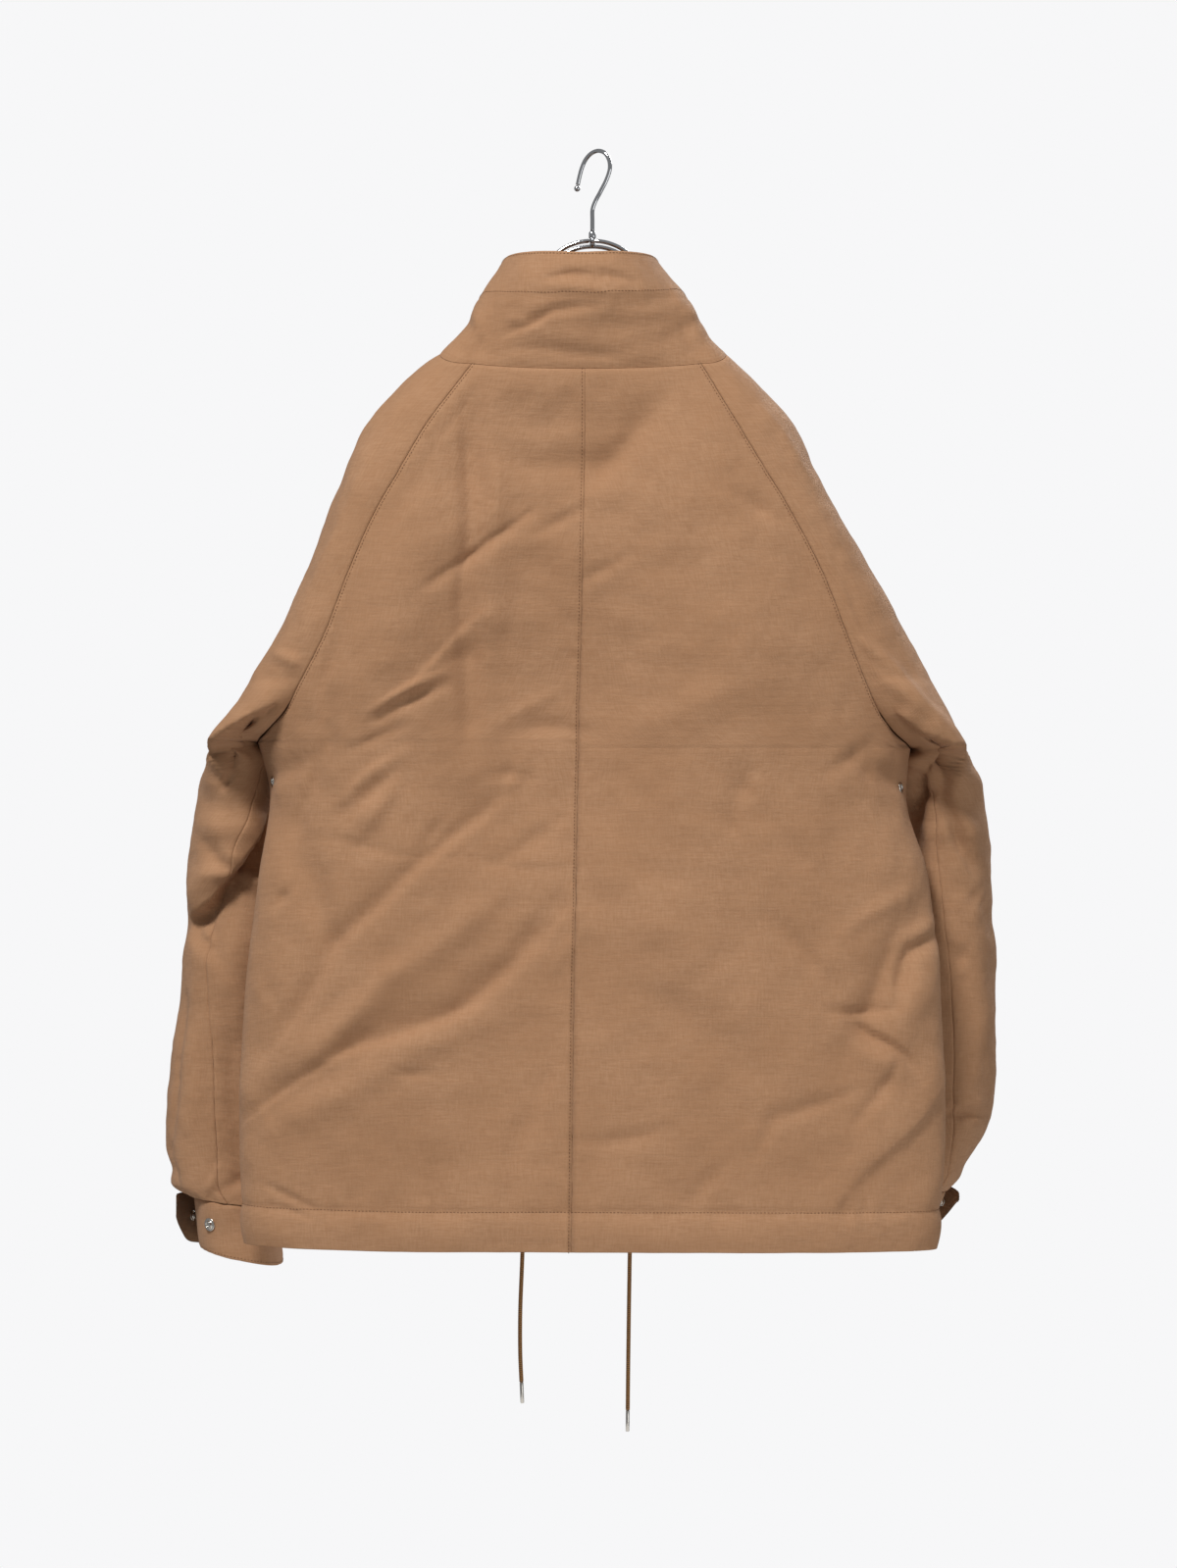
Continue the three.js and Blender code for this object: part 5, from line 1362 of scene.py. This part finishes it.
def strap_wall(name, side):
    edges = [[(x, y, heights[edge]) for x, y, *heights in STRAP[side]] for edge in (0, 1)]
    ends = [smooth_line(edge, STRAP_RINGS_APART) for edge in edges]
    top, bottom = [np.array([tuple(p) for p in line]) for line in ends]
    count = min(len(top), len(bottom))
    pick = lambda line: line[np.round(np.linspace(0, len(line) - 1, count)).astype(int)]
    top, bottom = pick(top), pick(bottom)
    along = np.gradient(top[:, :2], axis=0)
    along /= np.linalg.norm(along, axis=1)[:, None]
    out = np.stack([-along[:, 1] * side, along[:, 0] * side, np.zeros(count)], -1)
    t = np.linspace(0, 1, STRAP_ROWS + 1)[None, :, None]
    middle = top[:, None] + (bottom - top)[:, None] * t
    height = np.abs(bottom - top)[:, None, 2:] * np.minimum(t, 1 - t)
    run = np.concatenate([[0], np.cumsum(np.linalg.norm(np.diff(top, axis=0), axis=1))])[:, None, None]
    from_end = np.minimum(height, run[-1] - run)
    half = CLOTH / 2 - edge_rounding(from_end, CLOTH)
    half = half - STRAP_GROOVE_DEPTH * bell(from_end - STRAP_EDGE_STITCH, STRAP_GROOVE_WIDTH)
    outer = middle + out[:, None] * half
    inner = middle - out[:, None] * half
    surface[name] = outer
    surface[name + "_under"] = inner
    lengths = np.stack([np.broadcast_to(run[..., 0], middle.shape[:2]), middle[..., 2]], -1)
    return cloth_wall(name, outer, inner, lengths, side == LEFT, PAINTED_SHADE_COTTON)


for side, word in SIDES.items():
    piece = strap_wall(f"cuff_strap_{word}", side)
    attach(piece, "root")
    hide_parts(f"cuff_tab_{word}")


# The front strip: a straight double band over the closed front, snapped from the collar to the hem
PLACKET_WIDTH = 50
PLACKET_SHIFT = 5
SURFACE_GAP = 0.3
FRONT_LIFT, COLLAR_LIFT = 0.4, 0.5  # how much more the strip stands off each of them
STRIP_TOP_Z, STRIP_HEM_Z = NECK_FRONT_Z - 4, HEM_CENTRE_Z + 1
STRIP_ON_COLLAR = (0.96, 0.02)  # as shares of the collar's height
PLACKET_ROWS, PLACKET_COLUMNS = 220, 26
COLLAR_STRIP_ROWS = 47
STRIP_RIPPLES = ((34, 0.8),)
STRIP_STITCH = 5
STRIP_PUCKER, STRIP_PUCKER_AT, STRIP_PUCKER_REACH = 0.2, 3, 5


# How far forward the finished fronts reach at each place, from the points of their surfaces round it
def front_y(x, z):
    laid = np.concatenate([surface[f"front_panel_{word}"].reshape(-1, 3) for word in SIDES.values()])
    laid = laid[(laid[:, 1] > 0) & (np.abs(laid[:, 0]) < 2 * PLACKET_WIDTH)]
    tree = KDTree(len(laid))
    for k, point in enumerate(laid):
        tree.insert((point[0], 0, point[2]), k)
    tree.balance()
    reach = []
    for place in zip(np.ravel(x), np.ravel(z)):
        near = tree.find_n((place[0], 0, place[1]), 6)
        weights = [1 / (1 + away * away) for _, _, away in near]
        reach.append(sum(laid[k, 1] * w for (_, k, _), w in zip(near, weights)) / sum(weights))
    return np.array(reach).reshape(np.shape(x))


def strip_wall(name, x, y, z, across, thickness):
    from_side = np.minimum(across, PLACKET_WIDTH - across)
    half = thickness / 2 - edge_rounding(from_side, thickness)
    stitch = -STITCH_DIP * bell(from_side - STRIP_STITCH, STITCH_GROOVE)
    ripple = STRIP_PUCKER * np.sin(z / 2.6 + np.sin(z / 11) * 2)
    pucker = ripple * bell(from_side - STRIP_PUCKER_AT, STRIP_PUCKER_REACH)
    soft = np.abs(cloth_ripple(x, y, z, *STRIP_RIPPLES))
    middle = y + thickness / 2
    outer = np.stack([x, middle + half + stitch + pucker + soft, z], -1)
    inner = np.stack([x, middle - half, z], -1)
    surface[name] = outer
    return cloth_wall(name, outer, inner, np.stack([across, z], -1), False, COTTON)


# The strip's grid: how far down each point is and how far across, as shares
def strip_grid(rows):
    return np.meshgrid(np.linspace(0, 1, rows + 1), np.linspace(0, 1, PLACKET_COLUMNS + 1), indexing="ij")


down, part = strip_grid(PLACKET_ROWS)
z = STRIP_TOP_Z + (STRIP_HEM_Z - STRIP_TOP_Z) * down
x = body("seam", z) - PLACKET_SHIFT + PLACKET_WIDTH * (0.5 - part)
y = front_y(x, z) + SURFACE_GAP + FRONT_LIFT
piece = strip_wall("front_strip", x, y, z, part * PLACKET_WIDTH, CLOTH)
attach(piece, "root")
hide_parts("front_placket")


# How far forward the collar's front reaches at each x, found by halving the way round
def collar_front_y(up, x):
    side = np.where(x < collar_point(up, np.ones_like(x))[..., 0], -1.0, 1.0)
    near, far = np.ones_like(x), np.full_like(x, 0.6)
    for _ in range(26):
        middle = (near + far) / 2
        outside = side * (collar_point(up, side * middle)[..., 0] - x) < 0
        near, far = np.where(outside, middle, near), np.where(outside, far, middle)
    return collar_point(up, side * near)[..., 1]


down, part = strip_grid(COLLAR_STRIP_ROWS)
up = STRIP_ON_COLLAR[0] + (STRIP_ON_COLLAR[1] - STRIP_ON_COLLAR[0]) * down
middle = collar_point(up, np.ones_like(up))
x = middle[..., 0] - PLACKET_SHIFT + PLACKET_WIDTH * (0.5 - part)
y = collar_front_y(up, x) + SURFACE_GAP + COLLAR_LIFT
piece = strip_wall("collar_strip", x, y, middle[..., 2], part * PLACKET_WIDTH, CLOTH * 1.2)
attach(piece, "root")
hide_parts("collar_placket")


# The stitching: every visible seam is topstitched in an orange-brown thread, about nine stitches to the inch.
# The rows follow the finished cloth, so they dip and pucker with it.
STITCH_APART = 2.9
STITCH_LONG = 1.8
THREAD_THICK = 0.68
THREAD_LIFT = 0.05


# The thread's deep brown is partly its own colour and partly painted shade of the grooves that the stitches
# sink into
def sewing_thread_painted_shade():
    made, tree = new_material("sewing_thread_painted_shade")
    place = add_node(tree, "ShaderNodeTexCoord").outputs["Object"]
    twist = speckles(tree, 2600.0, 2.0, place)
    tone = blend(tree, twist, colour("#664329"), colour("#7F5836"))
    bump = add_node(tree, "ShaderNodeBump", {"Height": twist, "Strength": 0.3, "Distance": 0.0001})
    finish_material(tree, {"Base Color": tone, "Roughness": 0.6, "Normal": bump.outputs[0]})
    return made


# A row of stitches along every edge of a mesh: points at even lengths, each with one small lens of thread
def stitch_tree():
    tree = bpy.data.node_groups.new("stitch_row", "GeometryNodeTree")
    socket = tree.interface.new_socket
    socket(name="Geometry", in_out="INPUT", socket_type="NodeSocketGeometry")
    for name in ("Stitches apart", "Stitch length", "Thread thickness"):
        socket(name=name, in_out="INPUT", socket_type="NodeSocketFloat")
    socket(name="Thread", in_out="INPUT", socket_type="NodeSocketMaterial")
    socket(name="Geometry", in_out="OUTPUT", socket_type="NodeSocketGeometry")
    given = add_node(tree, "NodeGroupInput")
    curve = add_node(tree, "GeometryNodeMeshToCurve", {"Mesh": given.outputs["Geometry"]})
    spacing = {"Curve": curve.outputs[0], "Length": given.outputs["Stitches apart"]}
    points = add_node(tree, "GeometryNodeCurveToPoints", spacing, mode="LENGTH")
    thin = maths(tree, "MULTIPLY", given.outputs["Thread thickness"], 0.5)
    long = maths(tree, "MULTIPLY", given.outputs["Stitch length"], 0.5)
    size = add_node(tree, "ShaderNodeCombineXYZ", {"X": thin, "Y": thin, "Z": long})
    lens = add_node(tree, "GeometryNodeMeshUVSphere", {"Segments": 6, "Rings": 4, "Radius": 1.0})
    thread = add_node(
        tree, "GeometryNodeInstanceOnPoints",
        {"Points": points.outputs["Points"], "Instance": lens.outputs["Mesh"],
         "Rotation": points.outputs["Rotation"], "Scale": size.outputs[0]},
    )
    real = add_node(tree, "GeometryNodeRealizeInstances", {"Geometry": thread.outputs[0]})
    smooth = add_node(tree, "GeometryNodeSetShadeSmooth", {"Geometry": real.outputs[0]})
    thread_on = {"Geometry": smooth.outputs[0], "Material": given.outputs["Thread"]}
    dyed = add_node(tree, "GeometryNodeSetMaterial", thread_on)
    add_node(tree, "NodeGroupOutput", {"Geometry": dyed.outputs[0]})
    return tree


THREAD = sewing_thread_painted_shade()
STITCHES = stitch_tree()
STITCH_SOCKETS = STITCHES.interface.items_tree
STITCH_INPUTS = {item.name: item.identifier for item in STITCH_SOCKETS if item.in_out == "INPUT"}
STITCH_VALUES = {
    "Stitches apart": STITCH_APART * MM,
    "Stitch length": STITCH_LONG * MM,
    "Thread thickness": THREAD_THICK * MM,
    "Thread": THREAD,
}


def stitching(name, lines):
    points, edges = [], []
    for line in lines:
        first = len(points)
        points += line.tolist()
        edges += [(first + k, first + k + 1) for k in range(len(line) - 1)]
    mesh = bpy.data.meshes.new(name + "_path")
    mesh.from_pydata(in_metres(points), edges, [])
    path = add_object(name + "_path", mesh)
    sewn = path.modifiers.new("stitches", "NODES")
    sewn.node_group = STITCHES
    for setting, value in STITCH_VALUES.items():
        sewn[STITCH_INPUTS[setting]] = value
    graph = bpy.context.evaluated_depsgraph_get()
    plain = bpy.data.meshes.new_from_object(path.evaluated_get(graph), depsgraph=graph)
    path.modifiers.remove(sewn)
    bpy.data.objects.remove(path)
    piece = add_object(name, plain)
    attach(piece, "root")


# The place from which a wrapped or flat surface faces outwards
OPEN_MIDDLES = {
    "back_panel_left": (-20, 40, -500), "back_panel_right": (0, 40, -500),
    "front_panel_left": (-20, -40, -500), "front_panel_right": (0, -40, -500),
    "front_strip": (-15, -60, -560), "collar_strip": (-10, -60, -180),
}
BESIDE = 1.5  # how far from a row the cloth is read a second time, for its tilt


# A line on a finished surface, at an even distance from one of its four edges and just proud of it
def sewn_line(name, edge, distance, keep=None):
    grid = surface[name]
    along_rows = {"start": grid, "end": grid[:, ::-1]}
    along_columns = {"top": grid.transpose(1, 0, 2), "bottom": grid[::-1].transpose(1, 0, 2)}
    turned_grid = {**along_rows, **along_columns}[edge]
    run, _ = row_lengths(*np.moveaxis(turned_grid, -1, 0))

    def at(reach):
        return np.array([[np.interp(reach, r, g[:, k]) for k in range(3)] for r, g in zip(run, turned_grid)])

    line, beside = at(distance), at(distance + BESIDE)
    normal = np.cross(np.gradient(line, axis=0), beside - line)
    normal /= np.maximum(np.linalg.norm(normal, axis=1), 1e-9)[:, None]
    middle = np.array(OPEN_MIDDLES.get(name, grid.reshape(-1, 3).mean(0)))
    outwards = np.sign(((line - middle) * normal)[:, :2].sum(1))
    line = line + normal * (outwards * (THREAD_LIFT + THREAD_THICK * 0.1))[:, None]
    return line if keep is None else line[keep(line)]


rows = [sewn_line("back_panel_left", "start", STITCH_FROM_SEAM)]
for side, word in SIDES.items():
    in_yoke = lambda line: line[:, 2] > UNDERARM_Z[side] + 3
    for panel in ("back", "front"):
        rows.append(sewn_line(f"{panel}_panel_{word}", "end", STITCH_FROM_SEAM, in_yoke))
        rows.append(sewn_line(f"{panel}_panel_{word}", "bottom", HEM_STITCH_UP))

stitching("body_stitching", rows)

collar_rows = (COLLAR_EDGE_STITCH, (1 - COLLAR_STITCH_UP) * COLLAR_SLANT)
rows = [sewn_line("stand_collar", "top", distance) for distance in collar_rows]
rows += [sewn_line("collar_strip", edge, STRIP_STITCH) for edge in ("start", "end")]
stitching("collar_stitching", rows)
stitching("strip_stitching", [sewn_line("front_strip", edge, STRIP_STITCH) for edge in ("start", "end")])
for side, word in SIDES.items():
    line = sewn_line(f"cuff_band_{word}", "bottom", CUFF_EDGE_STITCH)
    rows = [np.concatenate([line, line[:1]])]
    for face in ("", "_under"):
        for edge in ("start", "end", "bottom"):
            rows.append(sewn_line(f"cuff_strap_{word}{face}", edge, STRAP_EDGE_STITCH))
    stitching(f"cuff_stitching_{word}", rows)


# The fittings: nickel-plated brass snaps, studs, sockets and eyelets, pressed through the cloth
FRONT_SNAPS = [-268, -415, -562, -709, -870]
BEFORE_FRONT_Y = 80
COLLAR_SNAP_UP = 0.7
SNAP_DIAMETER = 15
STUD_DIAMETER = 11
SOCKET_DIAMETER = 9
VENT_EYELET, HEM_EYELET = 10, 13
SEAT_LIFT = 0.15
FITTING_SIDES = 40
SEAT_STEP = 2  # how many points of the grid to each side tell the cloth's tilt


def snap_cap(d):
    return [
        (0, 0), (d / 2 - 0.3, 0), (d / 2, 0.3), (d / 2, 0.75), (d / 2 - 0.35, 1.1), (d * 0.42, 1.2),
        (d * 0.4, 1.45), (d * 0.36, 1.78), (d * 0.26, 2.04), (d * 0.13, 2.17), (0, 2.2),
    ]


def ring_stud(d):
    return [
        (0, 0), (d / 2 - 0.25, 0), (d / 2, 0.25), (d / 2, 0.6), (d / 2 - 0.3, 0.85), (d * 0.36, 1.0),
        (d * 0.31, 1.5), (d * 0.29, 2.2), (d * 0.3, 2.7), (d * 0.27, 3.0), (d * 0.2, 3.0), (d * 0.17, 2.6),
        (d * 0.16, 1.4), (d * 0.12, 1.1), (0, 1.0),
    ]


def eyelet(d):
    return [
        (d * 0.29, -2.2), (d * 0.27, 0.2), (d * 0.29, 0.75), (d * 0.34, 1.0), (d * 0.42, 0.95),
        (d * 0.47, 0.6), (d * 0.5, 0.12), (d * 0.49, -0.1), (d * 0.36, -0.3), (d * 0.33, -2.2),
        (d * 0.29, -2.2),
    ]


# The place on a finished surface nearest to a point, and the way out of the cloth there
def seat(name, point, outwards):
    grid = surface[name]
    away = np.linalg.norm(grid - np.array(point), axis=-1)
    row, column = np.unravel_index(away.argmin(), away.shape)
    row = min(max(row, SEAT_STEP), grid.shape[0] - SEAT_STEP - 1)
    column = min(max(column, SEAT_STEP), grid.shape[1] - SEAT_STEP - 1)
    down = grid[row + SEAT_STEP, column] - grid[row - SEAT_STEP, column]
    along = grid[row, column + SEAT_STEP] - grid[row, column - SEAT_STEP]
    normal = Vector(np.cross(down, along)).normalized()
    if normal.dot(Vector(outwards)) < 0:
        normal.negate()
    return Vector(grid[row, column]) + normal * SEAT_LIFT, normal


def fitting(name, node, profile, on, point, outwards):
    place, normal = seat(on, point, outwards)
    piece = turned(name, profile, place, normal, NICKEL, FITTING_SIDES)
    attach(piece, "root")
    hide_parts(node)


for k, z in enumerate(FRONT_SNAPS, 1):
    place = (float(body("seam", z)) - PLACKET_SHIFT, BEFORE_FRONT_Y, z)
    fitting(f"strip_snap_{k}", f"front_snap_{k}", snap_cap(SNAP_DIAMETER), "front_strip", place, (0, 1, 0))

place = collar_point(np.array(COLLAR_SNAP_UP), np.array(1.0)) + np.array([-PLACKET_SHIFT, 4, 0])
fitting("collar_strip_snap", "collar_snap", snap_cap(SNAP_DIAMETER), "collar_strip", place, (0, 1, 0.3))

# Each cuff's stud as a share of the way round and down
CUFF_STUD = {LEFT: (0.66, 0.45), RIGHT: (0.92, 0.4)}
for side, word in SIDES.items():
    share, down = CUFF_STUD[side]
    place = cuff_point(side, np.array(down), np.array(share), 0)
    angle = share * 2 * math.pi
    stud, socket = ring_stud(STUD_DIAMETER), ring_stud(SOCKET_DIAMETER)
    way = (math.cos(angle), math.sin(angle), 0)
    fitting(f"cuff_ring_stud_{word}", f"cuff_stud_{word}", stud, f"cuff_band_{word}", place, way)
    (x0, y0, top0, low0), (x1, y1, top1, low1) = STRAP[side][2:4]
    place = ((x0 + x1) / 2, (y0 + y1) / 2, (top0 + top1 + low0 + low1) / 4 + 1)
    under = ((y1 - y0) * side, -(x1 - x0) * side, 0)
    fitting(f"strap_socket_{word}", f"cuff_socket_{word}", socket, f"cuff_strap_{word}_under", place, under)
    hem, vent = eyelet(HEM_EYELET), eyelet(VENT_EYELET)
    place = HOLES[side, FRONT][0]
    fitting(f"hem_cord_eyelet_{word}", f"hem_eyelet_{word}", hem, f"front_panel_{word}", place, (0, 1, 0))
    place, way = HOLES[side, BACK][0], (side, -0.6, 0)
    fitting(f"side_vent_eyelet_{word}", f"vent_eyelet_{word}", vent, f"back_panel_{word}", place, way)
